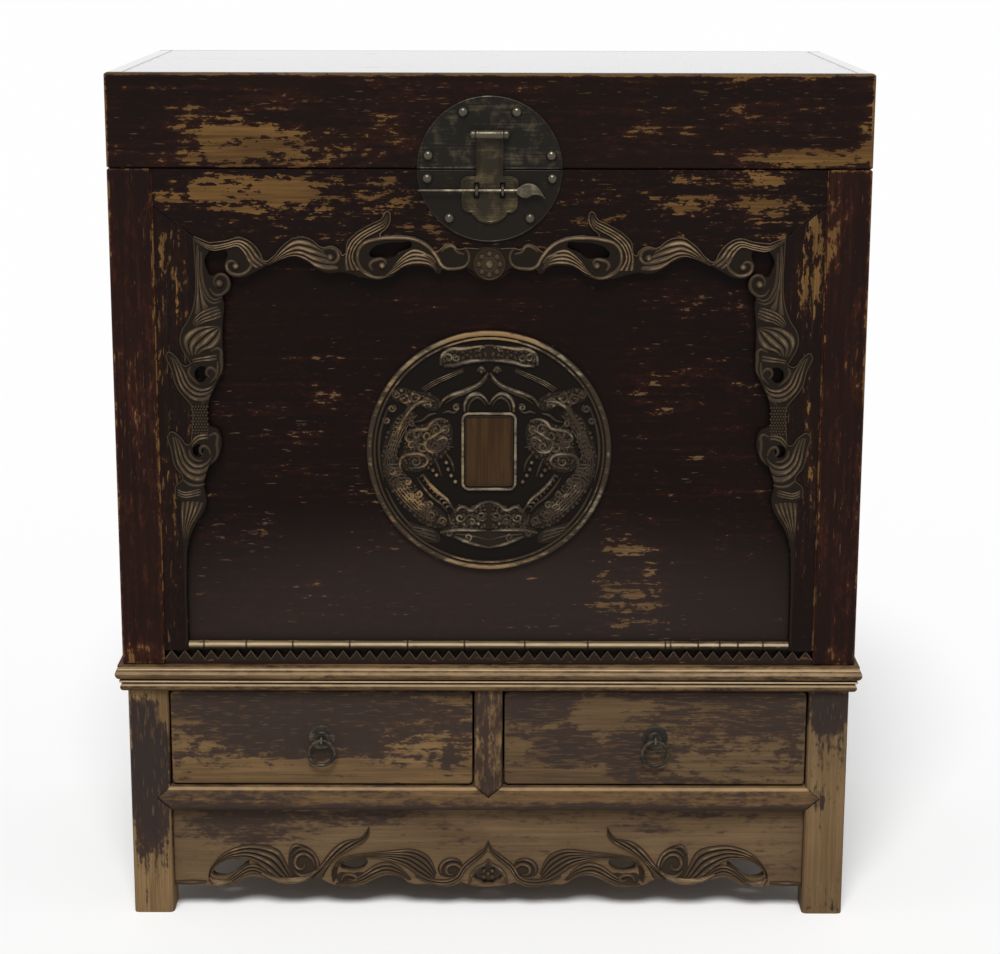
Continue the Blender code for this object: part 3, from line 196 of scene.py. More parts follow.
def wornLacquer(name, look, box=None):  # lacquer over wood, worn by noise, patches and edges
    # besides wear it paints light and shade: a sheen, highlight and shade bands, and shade in carved grooves
    finish = Finish(name, {"Specular IOR Level": look.get("shine", 0.06), **look.get("coat", {})})
    tones = {**woodTones, **look.get("tones", {})}
    seedCount[0] += 1
    shift = (seedCount[0] * 1.7, seedCount[0] * 2.3, seedCount[0] * 0.9)

    def along(coarse, slim, **more):  # noise drawn out along the grain
        scale = [coarse * slim] * 3
        scale[grainAxes[look["grain"]]] = coarse
        return finish.noise(scale, shift=shift, **more)

    chip = along(20.0, 3.0, detail=4.0, rough=0.6)
    flake = along(58.0, 2.8, detail=4.0, rough=0.65)
    streak = along(7.0, 26.0, detail=4.0, rough=0.6)
    speck = along(170.0, 2.2, detail=2.0)
    spread = along(5.0, 2.5, detail=3.0)
    exposed = chip * 0.46 + flake * 0.66 + streak * 0.50 + speck * 0.24 + spread * 0.24 - 1.05
    exposed = exposed * look.get("rugged", 1.0) + (spread - 0.5) * look.get("broad", 0.0) + (0.5 + look["wear"])
    for spot in look.get("patches", ()):
        exposed = exposed + finish.patch(*spot)
    if box and look.get("edge"):
        exposed = exposed + finish.edge(box, look.get("reach", 0.006)) * look["edge"]
    soft = look.get("soft", 0.026)
    bare = finish.step(exposed, bareFrom - soft, bareFrom + soft)
    thin = finish.step(exposed, 0.40, 0.60)
    lines = along(9.0, 42.0, detail=6.0, rough=0.7, twist=0.4)
    figure = along(3.0, 9.0, detail=2.0, twist=1.2)
    shade = finish.step(lines * 0.6 + figure * 0.4, 0.34, 0.66)
    wood = finish.mix(tones["woodDark"], tones["wood"], shade)
    cloud = finish.noise((7.0, 7.0, 7.0), detail=4.0, shift=shift)
    redder = (thin * 0.6 + streak * 0.5) * cloud * look.get("redness", 0.5)
    lacquer = finish.mix(tones["lacquer"], tones["under"], redder)
    # painted reflection: ovals where the lacquer is mixed towards a pale sheen
    for spot in look.get("paintedSheen", ()):
        lacquer = finish.mix(lacquer, tones["paintedSheen"], finish.patch(*spot))
    sparse = look.get("sparse", 0.625)
    dash = finish.step(along(52.0, 8.5, detail=2.0) * 0.75 + spread * 0.25, sparse, sparse + 0.05)
    lacquer = finish.mix(lacquer, tones["fleck"], dash * flake * fleckShare)
    dirt = finish.step(cloud, 0.30, 0.62)
    colour = finish.mix(lacquer, wood, bare * (0.70 + dirt * 0.30))
    # bands across the whole width: painted highlights on the upper sides of roundings, painted shade under them and
    # in grooves, and dark knot lines
    for *spot, band in look.get("bands", ()):
        colour = finish.mix(colour, tones[band], finish.patch(*spot) * (0.55 + flake * 0.9))
    if "carved" in look:
        crest = finish.crest()
        # the groove tone at low marks is painted shade in creases and where carvings meet the board, blending into
        # the body tone further up
        body = finish.mix(tones["groove"], tones["body"], finish.step(crest, 0.10, look.get("grooveShadeTop", 0.62)))
        rubbed = crest * 0.85 + chip * 0.35 + (flake - 0.5) * look.get("mottle", 0.4) + look["carved"]
        bright = tones["ridge"]
        for spot in look.get("polish", ()):
            rubbed = rubbed + finish.patch(*spot)
        for spot in look.get("gilt", ()):
            bright = finish.mix(bright, tones["gilt"], finish.patch(*spot))
        body = finish.mix(body, bright, finish.step(rubbed, 0.76, 1.12))
        colour = finish.mix(colour, body, finish.step(crest, 0.02, 0.08))
    rough = look.get("rough", 0.42) + bare * 0.22 + speck * 0.12
    if "glossTop" in look:  # polished on the upper face alone
        upper = finish.step(finish.z, look["glossTop"] - 0.0006, look["glossTop"] - 0.0002)
        finish.link("Coat Weight", upper)
        rough = rough * (1 - upper * 0.8)
    height = (1 - bare) * 0.8 + lines * bare * 0.6 + streak * 0.3 + speck * 0.15
    finish.paint(colour, rough, height, woodRelief)
    return finish.material


def bronze(name, look):
    finish = Finish(name, {"Specular IOR Level": look.get("shine", 0.4)})
    mottle = finish.noise((55.0,) * 3, detail=6.0, rough=0.65)
    grit = finish.noise((420.0,) * 3, detail=2.0)
    scratch = finish.noise((18.0, 300.0, 420.0), detail=2.0)
    raised = finish.crest()
    rubbed = finish.step(mottle * 0.7 + scratch * 0.3 + raised * 0.12 + look.get("rub", 0.0), 0.46, 0.68)
    colour = finish.mix(look["dark"], look["light"], rubbed)
    # raised marks mix in the lighter tone: rubbed metal, partly a painted highlight
    colour = finish.mix(colour, rubbedHighlightTone, raised * (0.35 + mottle * 0.5))
    rough = look["rough"] + grit * 0.18 - rubbed * 0.08 - raised * 0.24
    metal = 0.55 + rubbed * 0.35
    finish.link("Metallic", metal)
    finish.paint(colour, rough, mottle * 0.6 + grit * 0.3 + scratch * 0.1, 0.0004, 0.5)
    return finish.material


def curveMesh(curve):
    holder = bpy.data.objects.new("shape", curve)
    bpy.context.scene.collection.objects.link(holder)
    bpy.context.view_layer.update()
    mesh = bpy.data.meshes.new_from_object(holder.evaluated_get(bpy.context.evaluated_depsgraph_get()))
    bpy.data.objects.remove(holder)
    return mesh


def addSpline(curve, points, closed, radii=None):
    spline = curve.splines.new("BEZIER")
    spline.bezier_points.add(len(points) - 1)
    spline.use_cyclic_u = closed
    for index, (knot, point) in enumerate(zip(spline.bezier_points, points)):
        sharp = point[-1] == "sharp"
        spot = point[:-1] if sharp else point
        knot.co = (*spot, 0.0) if len(spot) == 2 else spot
        knot.handle_left_type = knot.handle_right_type = "VECTOR" if sharp else "AUTO"
        knot.radius = radii[index] if radii else 1.0


def cutBoard(loops, front, thick, ease, steps=6, inset=0.0):  # flat board sawn to an outline, its edges eased
    curve = bpy.data.curves.new("outline", "CURVE")
    curve.dimensions = "2D"
    curve.fill_mode = "BOTH"
    curve.extrude = thick / 2 - ease
    curve.bevel_depth = ease
    curve.bevel_resolution = 1
    curve.offset = -ease - inset
    curve.resolution_u = steps
    for loop in loops:
        addSpline(curve, loop, True)
    mesh = curveMesh(curve)
    mesh.transform(Matrix.Translation((0.0, front + thick / 2, 0.0)) @ Matrix.Rotation(math.pi / 2, 4, "X"))
    return mesh


def tubes(runs, around=1, steps=4):  # round strands through points, each point with its own radius
    curve = bpy.data.curves.new("strands", "CURVE")
    curve.dimensions = "3D"
    curve.bevel_depth = 1.0
    curve.bevel_resolution = around
    curve.resolution_u = steps
    curve.use_fill_caps = True
    for run in runs:
        addSpline(curve, run["points"], run.get("closed", False), run["radii"])
    return curveMesh(curve)


def path(drawing):  # points of a drawing in mm, "!" after a sharp corner
    points = []
    for spot in drawing.split(","):
        x, z = (float(number) for number in spot.rstrip("!").split())
        points.append((x, z, "sharp") if spot.endswith("!") else (x, z))
    return points


def placing(base=0.0, way=1, sign=1):  # how a drawing in mm lies on the object, up or down from a height
    return lambda x, up: (sign * x * mm, base + way * up * mm)


def outlined(points, place):  # a drawing set on the object
    return [(*place(*point[:2]), *point[2:]) for point in points]


def mirrored(points):
    return [(-point[0], *point[1:]) for point in points]


def taper(count, radius, start, end):
    radii = []
    for index in range(count):
        s = index / (count - 1)
        lead = start + (1 - start) * min(1.0, s / 0.3)
        tail = end + (1 - end) * min(1.0, (1 - s) / 0.4)
        radii.append(radius * min(lead, tail))
    return radii


def mark(mesh, values):  # how high each point of a carving stands, from groove to ridge
    layer = mesh.attributes.new("crest", "FLOAT", "POINT")
    layer.data.foreach_set("value", values)
    return mesh


def even(mesh, value):  # one height all over
    return mark(mesh, [value] * len(mesh.vertices))


def smoothPath(points, count):  # spots along a smooth line through points
    knots = [Vector(point) for point in points]
    spots = []
    for index in range(count):
        t = index / (count - 1) * (len(knots) - 1)
        k = min(int(t), len(knots) - 2)
        f = t - k
        a, b, c, d = (knots[min(max(k + n, 0), len(knots) - 1)] for n in (-1, 0, 1, 2))
        bend = 2 * b + (c - a) * f + (2 * a - 5 * b + 4 * c - d) * f ** 2
        spots.append((bend + (3 * b - a - 3 * c + d) * f ** 3) / 2)
    return spots


def fluted(shape, place, face, signs=(1, -1), keen=2.2):  # a domed leaf with flutes, drawn between two edges
    first, second, flutes, height, start, end = shape
    long, wide = 5 * (len(first) - 1), 4 * flutes
    edges = [smoothPath(edge, long + 1) for edge in (first, second)]
    meshes = []
    for sign in signs:
        bm = bmesh.new()
        bmesh.ops.create_grid(bm, x_segments=long, y_segments=wide, size=1.0)
        bmesh.ops.extrude_face_region(bm, geom=bm.faces[:])
        half = len(bm.verts) // 2
        crests = []
        for index, vert in enumerate(bm.verts):
            u, v = (vert.co.x + 1) / 2, (vert.co.y + 1) / 2
            low, high = (edge[round(u * long)] for edge in edges)
            x, z = place(*low.lerp(high, v))
            swell = min(1.0, start + (1 - start) * u / 0.25, end + (1 - end) * (1 - u) / 0.35)
            flute = abs(math.sin(math.pi * flutes * v)) ** 0.8
            rise = swell * height * (0.45 * math.sin(math.pi * v) ** 0.6 + 0.55 * flute)
            back = index < half
            rim = v < 0.001 or v > 0.999 or u < 0.001 or u > 0.999
            vert.co = (sign * x, face + 0.0015 if back else face - (rise - 0.35 * rim) * mm, z)
            # flute bottoms and leaf edges get the lowest mark and are painted dark as shade in each crease
            crests.append(0.0 if back else 0.12 + 0.88 * flute ** keen * (0.45 + 0.55 * swell))
        bmesh.ops.recalc_face_normals(bm, faces=bm.faces[:])
        meshes.append(mark(bmMesh(bm), crests))
    return meshes


def leaves(shapes, *setting, **more):
    return [mesh for shape in shapes for mesh in fluted(shape, *setting, **more)]


def ribs(lines, radius, start, end, lift=0.0):
    return [{"path": line, "radius": radius, "ends": (start, end), "lift": lift} for line in lines]


def carve(items, place, face, both=True):  # ribs drawn in mm, laid on a face
    runs = []
    for item in items:
        spots = [place(*point[:2]) for point in item["path"]]
        y = face - item["lift"] * mm
        radii = [r * mm for r in taper(len(spots), item["radius"], *item["ends"])]
        for sign in ((1, -1) if both else (1,)):
            runs.append({"points": [(sign * x, y, z) for x, z in spots], "radii": radii})
    return standing(tubes(runs), face)


def standing(mesh, face, reach=0.0030, peak=1.0):  # marks each point by how far it stands off a face
    lifts = [min(1.0, max(0.0, (face - vert.co.y) / reach)) for vert in mesh.vertices]
    # points on the face get the lowest mark, so the foot of each carving is painted dark as shade
    return mark(mesh, [0.12 + 0.88 * peak * lift ** 1.5 for lift in lifts])


def ground(loops, face, rise, steps=6, crest=0.36):  # low raised ground that the carving stands on
    mesh = cutBoard(loops, face - rise, rise + 0.0004, 0.0005, steps, 0.0004)
    return even(mesh, crest)


def bmMesh(bm):
    mesh = bpy.data.meshes.new("shape")
    bm.to_mesh(mesh)
    bm.free()
    return mesh


def beads(spots, radius, face, flat=0.8, peak=1.0, around=10):  # domes, x and z in metres
    bm = bmesh.new()
    for x, z in spots:
        place = Matrix.Translation((x, face, z)) @ Matrix.Diagonal((1.0, flat, 1.0, 1.0))
        bmesh.ops.create_uvsphere(bm, u_segments=around, v_segments=around - 3, radius=radius, matrix=place)
    return standing(bmMesh(bm), face, radius * flat, peak)


def brick(low, high):
    bm = bmesh.new()
    low, high = Vector(low), Vector(high)
    matrix = Matrix.Translation((low + high) / 2) @ Matrix.Diagonal((*(high - low), 1.0))
    bmesh.ops.create_cube(bm, size=1.0, matrix=matrix)
    return bmMesh(bm)


def barrel(x, y, z, radius, length, ease):  # round bar along X
    bm = bmesh.new()
    matrix = Matrix.Translation((x, y, z)) @ Matrix.Rotation(math.pi / 2, 4, "Y")
    bmesh.ops.create_cone(bm, cap_ends=True, segments=28, radius1=radius, radius2=radius,
                          depth=length, matrix=matrix)
    rims = [edge for edge in bm.edges if len(edge.link_faces) == 2
            and any(len(face.verts) > 4 for face in edge.link_faces)]
    bmesh.ops.bevel(bm, geom=rims, offset=ease, segments=2, profile=0.5, affect="EDGES", material=-1)
    return bmMesh(bm)


def turned(profile, place, steps=40):  # profile of radius and stand-off, spun about Y
    bm = bmesh.new()
    knots = [bm.verts.new((radius, -rise, 0.0)) for radius, rise in profile]
    edges = [bm.edges.new(pair) for pair in zip(knots, knots[1:])]
    bmesh.ops.spin(bm, geom=knots + edges, cent=(0, 0, 0), axis=(0, 1, 0), angle=2 * math.pi,
                   steps=steps, use_merge=True)
    bmesh.ops.remove_doubles(bm, verts=bm.verts[:], dist=1e-6)
    bmesh.ops.recalc_face_normals(bm, faces=bm.faces[:])
    bmesh.ops.translate(bm, vec=place, verts=bm.verts[:])
    return bmMesh(bm)


def piece(name, meshes, material, body, replaced=(), angle=38.0):
    bm = bmesh.new()
    crests = []
    for mesh in meshes:
        bm.from_mesh(mesh)
        layer = mesh.attributes.get("crest")
        crests += [item.value for item in layer.data] if layer else [0.0] * len(mesh.vertices)
        bpy.data.meshes.remove(mesh)
    for layer in bm.verts.layers.float[:]:
        bm.verts.layers.float.remove(layer)
    mesh = bmMesh(bm)
    if any(crests):
        mark(mesh, crests)
    mesh.name = name
    mesh.materials.clear()
    mesh.materials.append(material)
    mesh.shade_smooth()
    mesh.set_sharp_from_angle(angle=math.radians(angle))
    thing = bpy.data.objects.new(name, mesh)
    bpy.context.scene.collection.objects.link(thing)
    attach(thing, body)
    if replaced:
        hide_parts(*replaced)


def dress(node, material):  # a CAD node keeps its shape and takes a finish
    nodes[node].data.materials.clear()
    nodes[node].data.materials.append(material)


def dressWood(node, look, box=None, kind="lacquer"):
    dress(node, wornLacquer(node + "_" + kind, look, box))


# camera, floor and light
view = {"lens": 87.5, "place": (0.0, -2.9366, 1.158), "tilt": 77.0, "roll": 0.13, "shift": 0.011}
cameraData = bpy.data.cameras.new("camera")
cameraData.lens = view["lens"]
cameraData.sensor_width = 36.0
cameraData.shift_x = view["shift"]
camera = bpy.data.objects.new("camera", cameraData)
turn = Matrix.Rotation(math.radians(view["tilt"]), 4, "X") @ Matrix.Rotation(math.radians(view["roll"]), 4, "Z")
camera.matrix_world = Matrix.Translation(view["place"]) @ turn
bpy.context.scene.collection.objects.link(camera)
bpy.context.scene.camera = camera
bpy.context.scene.view_settings.view_transform = "Standard"

studio = {"sky": 0.27, "sun": 3.05, "sunTurn": (36.0, 0.0, -4.0), "sunAngle": 26.0, "floor": 0.94}
world = bpy.data.worlds.new("studio")
bpy.context.scene.world = world
world.use_nodes = True
skyTree = world.node_tree
backdrop = skyTree.nodes["Background"]
rays = skyTree.nodes.new("ShaderNodeLightPath")
seen = None  # white to the eye and in reflections, dimmer as a light
for ray in ("Is Camera Ray", "Is Glossy Ray", "Is Transmission Ray"):
    most = skyTree.nodes.new("ShaderNodeMath")
    most.operation = "MAXIMUM"
    most.inputs[1].default_value = 0.0
    skyTree.links.new(rays.outputs[ray], most.inputs[0])
    if seen:
        skyTree.links.new(seen, most.inputs[1])
    seen = most.outputs[0]
level = skyTree.nodes.new("ShaderNodeMapRange")
level.inputs["To Min"].default_value = studio["sky"]
level.inputs["To Max"].default_value = 1.0
skyTree.links.new(seen, level.inputs["Value"])
skyTree.links.new(level.outputs[0], backdrop.inputs["Strength"])
backdrop.inputs["Color"].default_value = (1.0, 1.0, 1.0, 1.0)

sun = bpy.data.lights.new("sun", "SUN")
sun.energy = studio["sun"]
sun.angle = math.radians(studio["sunAngle"])
lamp = bpy.data.objects.new("sun", sun)
lamp.rotation_euler = [math.radians(a) for a in studio["sunTurn"]]
bpy.context.scene.collection.objects.link(lamp)

bm = bmesh.new()
bmesh.ops.create_grid(bm, x_segments=1, y_segments=1, size=150.0)
floor = bpy.data.objects.new("floor", bmMesh(bm))
paper = bpy.data.materials.new("floor_paper")
paper.use_nodes = True
paperShader = paper.node_tree.nodes["Principled BSDF"]
paperShader.inputs["Base Color"].default_value = (studio["floor"],) * 3 + (1.0,)
paperShader.inputs["Roughness"].default_value = 0.9
paperShader.inputs["Specular IOR Level"].default_value = 0.0
floor.data.materials.append(paper)
bpy.context.scene.collection.objects.link(floor)
floor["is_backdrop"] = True
print("stage set")

# lid: plain boards, lacquer rubbed through on the front and along the edges
lidLook = {
    "grain": "X", "wear": -0.100, "edge": 0.42, "reach": 0.0045, "redness": 0.6, "rugged": 1.15,
    "patches": [
        (-0.262, 0.921, 0.090, 0.022, 0.27), (-0.225, 0.897, 0.170, 0.015, 0.22),
        (-0.131, 0.922, 0.070, 0.026, 0.13), (-0.330, 0.935, 0.050, 0.022, 0.12), (-0.30, 0.960, 0.12, 0.020, 0.07),
        (0.344, 0.897, 0.100, 0.015, 0.26), (0.170, 0.930, 0.090, 0.034, 0.07), (0.30, 0.950, 0.12, 0.025, 0.06),
        (-0.215, 0.962, 0.050, 0.008, 0.14), (0.422, 0.930, 0.016, 0.050, 0.16),
    ],
}
sideLook = {
    "grain": "Y", "wear": -0.11, "edge": 0.30, "reach": 0.006, "redness": 0.6, "broad": 0.45, "sparse": 0.65,
    "tones": {"fleck": tone(82, 60, 40)},
}
topLook = {
    **sideLook, "grain": "X", "edge": 0.26, "reach": 0.008, "redness": 0.5, "rough": 0.08, "shine": 0.5,
    "coat": {"IOR": 1.16, "Coat Weight": 1.0, "Coat Roughness": 0.03, "Coat IOR": 1.16},
}
backLook = {**sideLook, "grain": "X", "redness": 0.5}
lidShine = {"shine": 0.5, "coat": {**topLook["coat"], "Coat Weight": 0.0}, "glossTop": cadHigh.z}
low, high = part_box("lid_front")
low.z -= 0.1  # worn along the top and the ends, not at the seam
dressWood("lid_front", lidLook, (low, high))
dressWood("lid_back", {**backLook, **lidShine}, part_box("lid_back"))
dressWood("lid_top", topLook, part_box("lid_top"))
for side, _ in sides:
    dressWood("lid_" + side, {**sideLook, **lidShine}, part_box("lid_" + side))

# case: posts, sides, back, bottom and the recessed panel
postLook = {
    "grain": "Z", "wear": -0.095, "edge": 0.22, "reach": 0.005, "redness": 0.9,
    "tones": {"lacquer": tone(16, 10, 8), "under": tone(72, 35, 24)},
    "patches": [(0.386, 0.82, 0.013, 0.075, 0.20), (-0.400, 0.324, 0.032, 0.016, 0.15),
                (0.400, 0.324, 0.032, 0.014, 0.13), (0.418, 0.70, 0.012, 0.10, 0.08)],
}
panelLook = {
    "grain": "X", "wear": -0.125, "redness": 0.55, "rough": 0.38, "sparse": 0.648, "rugged": 1.2,
    # painted reflection of the floor along the lower part of the panel
    "paintedSheen": [(0.0, 0.345, 0.60, 0.15, 0.35)],
    "tones": {"lacquer": tone(10, 6, 5), "under": tone(60, 26, 17), "wood": tone(108, 83, 55),
              "woodDark": tone(70, 52, 34), "fleck": tone(108, 86, 62)},
    "patches": [
        (0.157, 0.412, 0.060, 0.086, 0.187), (0.200, 0.632, 0.060, 0.034, 0.13),
        (0.285, 0.632, 0.035, 0.034, 0.13), (0.250, 0.735, 0.090, 0.020, 0.11), (-0.20, 0.72, 0.05, 0.02, 0.09),
        (-0.19, 0.63, 0.03, 0.02, 0.10), (-0.300, 0.650, 0.014, 0.028, 0.09), (-0.250, 0.470, 0.030, 0.040, 0.04),
    ],
}
bareLook = {
    "grain": "X", "wear": 0.28, "redness": 0.2, "rough": 0.55, "rugged": 0.6, "soft": 0.06,
    "tones": {"wood": tone(150, 118, 80), "woodDark": tone(104, 77, 48), "lacquer": tone(70, 50, 32)},
}
for side, _ in sides:
    dressWood("post_" + side, postLook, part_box("post_" + side))
    dressWood("box_side_" + side, sideLook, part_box("box_side_" + side))
dressWood("box_back", backLook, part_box("box_back"))
dressWood("front_panel", panelLook)
dressWood("box_bottom", bareLook, kind="wood")
print("lid and case dressed")

# carved border: a rail and two stiles with fluted leaves, curls and beads
rail = {
    "edge": path("312 89.3!, 301 88.5, 293.5 92.5, 296.5 108, 290 119.5, 273.5 120.5, 262 115, 236 102, "
                 "221 98.3, 206 103, 192.5 112, 180 116.3, 164.5 115.2, 141.5 121.3, 123.2 122.8, 108 119, "
                 "97.5 111, 82 107.2, 67 109, 56.5 117, 51.5 111.5, 38.5 113.4, 25.5 110, 18 115, 10 121"),
    "middle": 122.8,
    "hole": path("133.5 96.5, 130.5 88.5, 118 83, 99 81.5, 87 83, 99.5 92, 111 99, 121 98"),
    "crown": path("12.8 88.2, 25.7 87.6, 35.9 88.5, 41 83.6, 49.5 84.6, 56 90, 60.5 92, 69 83.2, 84.6 75.4, "
                  "105.1 73.4, 122 74.6, 113.6 63.5, 110.6 53.3, 113.4 46.6, 120.6 55.4, 131 60.4, 146.8 69.2, "
                  "158 80.3, 163.6 96, 167 91, 175.7 85.8, 187.2 87.2, 197.4 79.5, 207.6 75.6, 220 77, "
                  "232 86.6, 242 98, 251.4 102.6, 256 94, 265.4 82.4, 279.3 76.4, 294.8 80, 312.8 82, "
                  "330 74.9!"),
    "handle": path("131.1 118.9, 143.9 109.9, 147.6 97, 142.3 84.1, 125.6 77.7, 105.1 75.9, 84.6 77.7, "
                   "69.2 85.4, 59.1 97, 51.4 108.6, 38.6 110.5, 25.7 106, 23.1 94.4, 28.2 86.7"),
    "curls": [
        path("269.4 91.8, 265.8 104.7, 272.5 115.1, 285.4 117.6, 293.4 111.2, 291.5 103.4, 283.8 104.7, "
             "282.6 109.9"),
        path("187.2 89.2, 175.7 88, 169.3 93.1, 170.8 102.1, 178.5 103.4, 179.7 97"),
        path("131.1 112.5, 133.6 106, 125.8 100.8, 116.8 102.1, 118.2 109.9"),
        path("147 110, 136.3 117.6, 123.5 121, 112 118"),
        path("53.9 91.8, 48.7 86.7, 41 85.4, 35.9 91.8, 28.2 94.4"),
        path("60 104, 66 97, 75 95, 83 98, 86 102"),
    ],
    "fine": [
        path("366.7 44.3, 348 61, 330.5 77.7, 316 87"),
        path("140 97, 138 88, 130.8 81.1, 117.9 79.2, 100 78.9, 86 80.5"),
        path("25.7 89.2, 12.8 88.2, 0 86.7"),
        path("24 112, 17 117.5, 9 122, 0 124"),
    ],
    "leaves": [  # two edges, flutes, height, both ends
        (path("330.5 75.1, 312.8 84.1, 294.8 82, 279.3 78.4, 266.6 84.1, 256.7 97, 246.5 104.7"),
         path("328.1 81.5, 310.4 91.1, 295 89.5, 282.1 86.7, 274.6 94.4, 269.7 104.7, "
              "262.1 111.2"), 3, 3.6, 0.5, 0.5),
        (path("250.4 106, 241.3 99.6, 230.8 88, 219.1 78.9, 207.6 77.7, 197.4 81.5, 187.2 89.2"),
         path("246.6 107.3, 233.6 100.8, 218.2 97, 205.4 101.4, 192.7 110.5, 179.9 114.1, "
              "167 112.5"), 4, 4.2, 0.4, 0.5),
        (path("161.9 112.5, 161.7 97, 156.4 81.5, 146 71.2, 130.5 62.2, 119 56.4, 113.8 48.2"),
         path("143.9 112.5, 151.5 99.6, 147.5 86.7, 137.1 76.4, 122.9 68.7, 115.2 63.5, "
              "112.5 53.3"), 3, 4.4, 0.7, 0.3),
        (path("113.1 117.6, 105.3 104.7, 94.9 93.8, 84.6 88, 71.9 91.8, 61.6 102.1"),
         path("123.5 120.5, 108 116.1, 95.1 108.3, 82.2 105.7, 66.8 107.3, 56.6 116.2"), 4, 3.8, 0.5, 0.3),
    ],
    "knobs": path("283.6 108.2, 178 98, 120 107"),
    "drop": 0.1055, "petals": 0.0118,  # rosette
    "rosette": [(0.0, 0.0045), (0.0035, 0.0042), (0.0052, 0.0022), (0.0075, 0.0026), (0.0095, 0.0020),
                (0.0160, 0.0020), (0.0172, 0.0030), (0.0182, 0.0018), (0.0186, -0.0020), (0.0, -0.0020)],
}
stile = {
    "edge": path("312 90.5!, 318 101, 316 112, 311 119.5, 304 116, 295 118, 289.5 126.5, 291.5 136.5, "
                 "298.5 142, 297.5 151, 299.6 175.7, 300 194, 300.8 226, 309.5 245.5, 316.8 262.2, "
                 "317.5 290.2, 307 296, 307.5 326.6, 320.4 340.6, 325 358, 322.6 380.5, 338.8 412.4, "
                 "344.8 429.5, 347 458, 347.8 545.7!, 347.8 556.9!, 375.7 556.9!"),
    "holes": [
        path("332.5 233, 328 223.5, 319.5 224.5, 321 237, 327 240.5"),
        path("337 320, 333 313, 327 314, 328 325, 333 327"),
    ],
    "rim": path("330 76.5!, 329 104.7, 328.6 124, 331 150, 337.5 168, 346.6 184, 347.4 197, 341 211.5, "
                "336 219, 344 222, 354 211, 362.4 206.6, 358.2 226.6, 352.7 246.4, 341.6 261.2, 337 268, "
                "337.4 300, 341 313, 353 302, 362.4 298.6, 361 320.4, 357.5 337.8, 349 352, 357.6 361.6, "
                "357.8 373.6, 353.6 378.2, 354.4 392.4, 353.6 409.8, 351.8 428, 351.8 460, 351.6 556!"),
    "curls": [
        path("307.9 236.3, 309.3 227.3, 315.9 224.1, 319.5 230.6, 315.6 234.8"),
        path("316.6 324.6, 320.6 316, 326.4 314.8, 328.6 321.4, 325 325"),
        path("314 133.2, 306.5 141, 296.1 137.1, 292 128, 296.9 118.6, 306 120.2, 307.5 129.3, 301.1 131.9"),
        path("322 91.8, 322.3 104.7, 321.9 120.2, 318 135.8, 309.2 146.2, 299.9 143.6"),
        path("325.5 84, 326.5 104.7, 325.9 122.2, 321 139, 311 150, 301 148"),
        path("314.3 204.7, 304.2 202.2, 302.5 214, 302.5 226.7, 306.2 234"),
        path("318.2 302.5, 310.1 300.2, 309.5 312, 309.5 324.8, 316 334.2"),
        path("337 222, 339.5 229, 334.5 237.5, 327 243.5"),
        path("306.5 216, 306.5 224, 308.5 233, 316 241.5"),
        path("341 318, 340 325, 333.5 331, 326 331.5"),
        path("349.5 353.5, 341 359.5, 331 360.5, 324.5 358.5"),
        path("313.5 246.5, 318.5 256, 326 266.5"),
    ],
    "fine": [
        path("344 428, 349.2 438.1, 350.6 458.3, 350.2 501.8, 349.9 555"),
        path("363.2 203, 363 180, 362 150, 358 120"),
    ],
    "beadRows": [(x + 1.4 * (row % 2), 268.5 + 3.4 * row) for row in range(10)
                 for x in (319.5, 322.7, 325.9, 329.1, 332.3, 335.5)],
    "leaves": [  # two edges, flutes, height, both ends
        (path("335 173.3, 329.3 163.6, 319.6 156.8, 303.1 151.8"),
         path("331 178, 319.9 172.5, 308.9 169.8, 299.3 165.6"), 4, 2.8, 0.5, 0.5),
        (path("338.7 210.6, 345.2 196.8, 343.5 185.7, 331 177.4, 314.6 175.5, 302 176"),
         path("327.8 209.2, 319.4 203.9, 308.3 200.8, 301.9 192.5, 301.3 184, 301.3 178"), 4, 4.0, 0.4, 0.5),
        (path("361.1 208.7, 356.1 225.9, 350.7 245.4, 340.1 259.4, 328 264.2, 318.2 262.6"),
         path("352.5 213.4, 343.3 227.3, 336.1 241.2, 324.7 247, 312.7 243.1, 305.9 232.9"), 3, 4.2, 0.3, 0.6),
        (path("361.1 300.9, 358.9 319.8, 355.5 336.8, 346.8 350.3, 335.6 357.3, 325.8 356.6"),
         path("352.4 304.3, 346.4 315.6, 341.3 328.3, 331.7 334.9, 321.3 331.3, "
              "314.6 322.6"), 3, 4.0, 0.3, 0.6),
        (path("356.3 363.1, 345.9 367, 327.7 362.3"),
         path("356.5 372.3, 346.1 375.7, 326.2 371.7"), 3, 2.4, 0.5, 0.5),
        (path("324.5 379, 330.5 392.2, 340.7 408, 347.1 426.6"),
         path("352.3 378, 352.9 392.2, 351.8 409.4, 349.9 426.6"), 5, 3.0, 0.5, 0.3),
        (path("327.6 80, 328.2 104, 328 124, 330 148, 334 166"),
         path("323.8 92, 324.2 108, 323 128, 319 146, 312 153"), 2, 2.8, 0.5, 0.6),
        (path("336.5 213.5, 328 211.5, 318 209.5, 306 207"),
         path("335 219.5, 327 217.5, 317 217, 306.5 216"), 2, 2.6, 0.5, 0.5),
        (path("340 311, 334 302.5, 326 299.5, 318 299"),
         path("338 317, 331 309.5, 324 307, 318.5 307.5"), 2, 2.6, 0.5, 0.5),
    ],
    "knob": (302.4, 127.6),
}
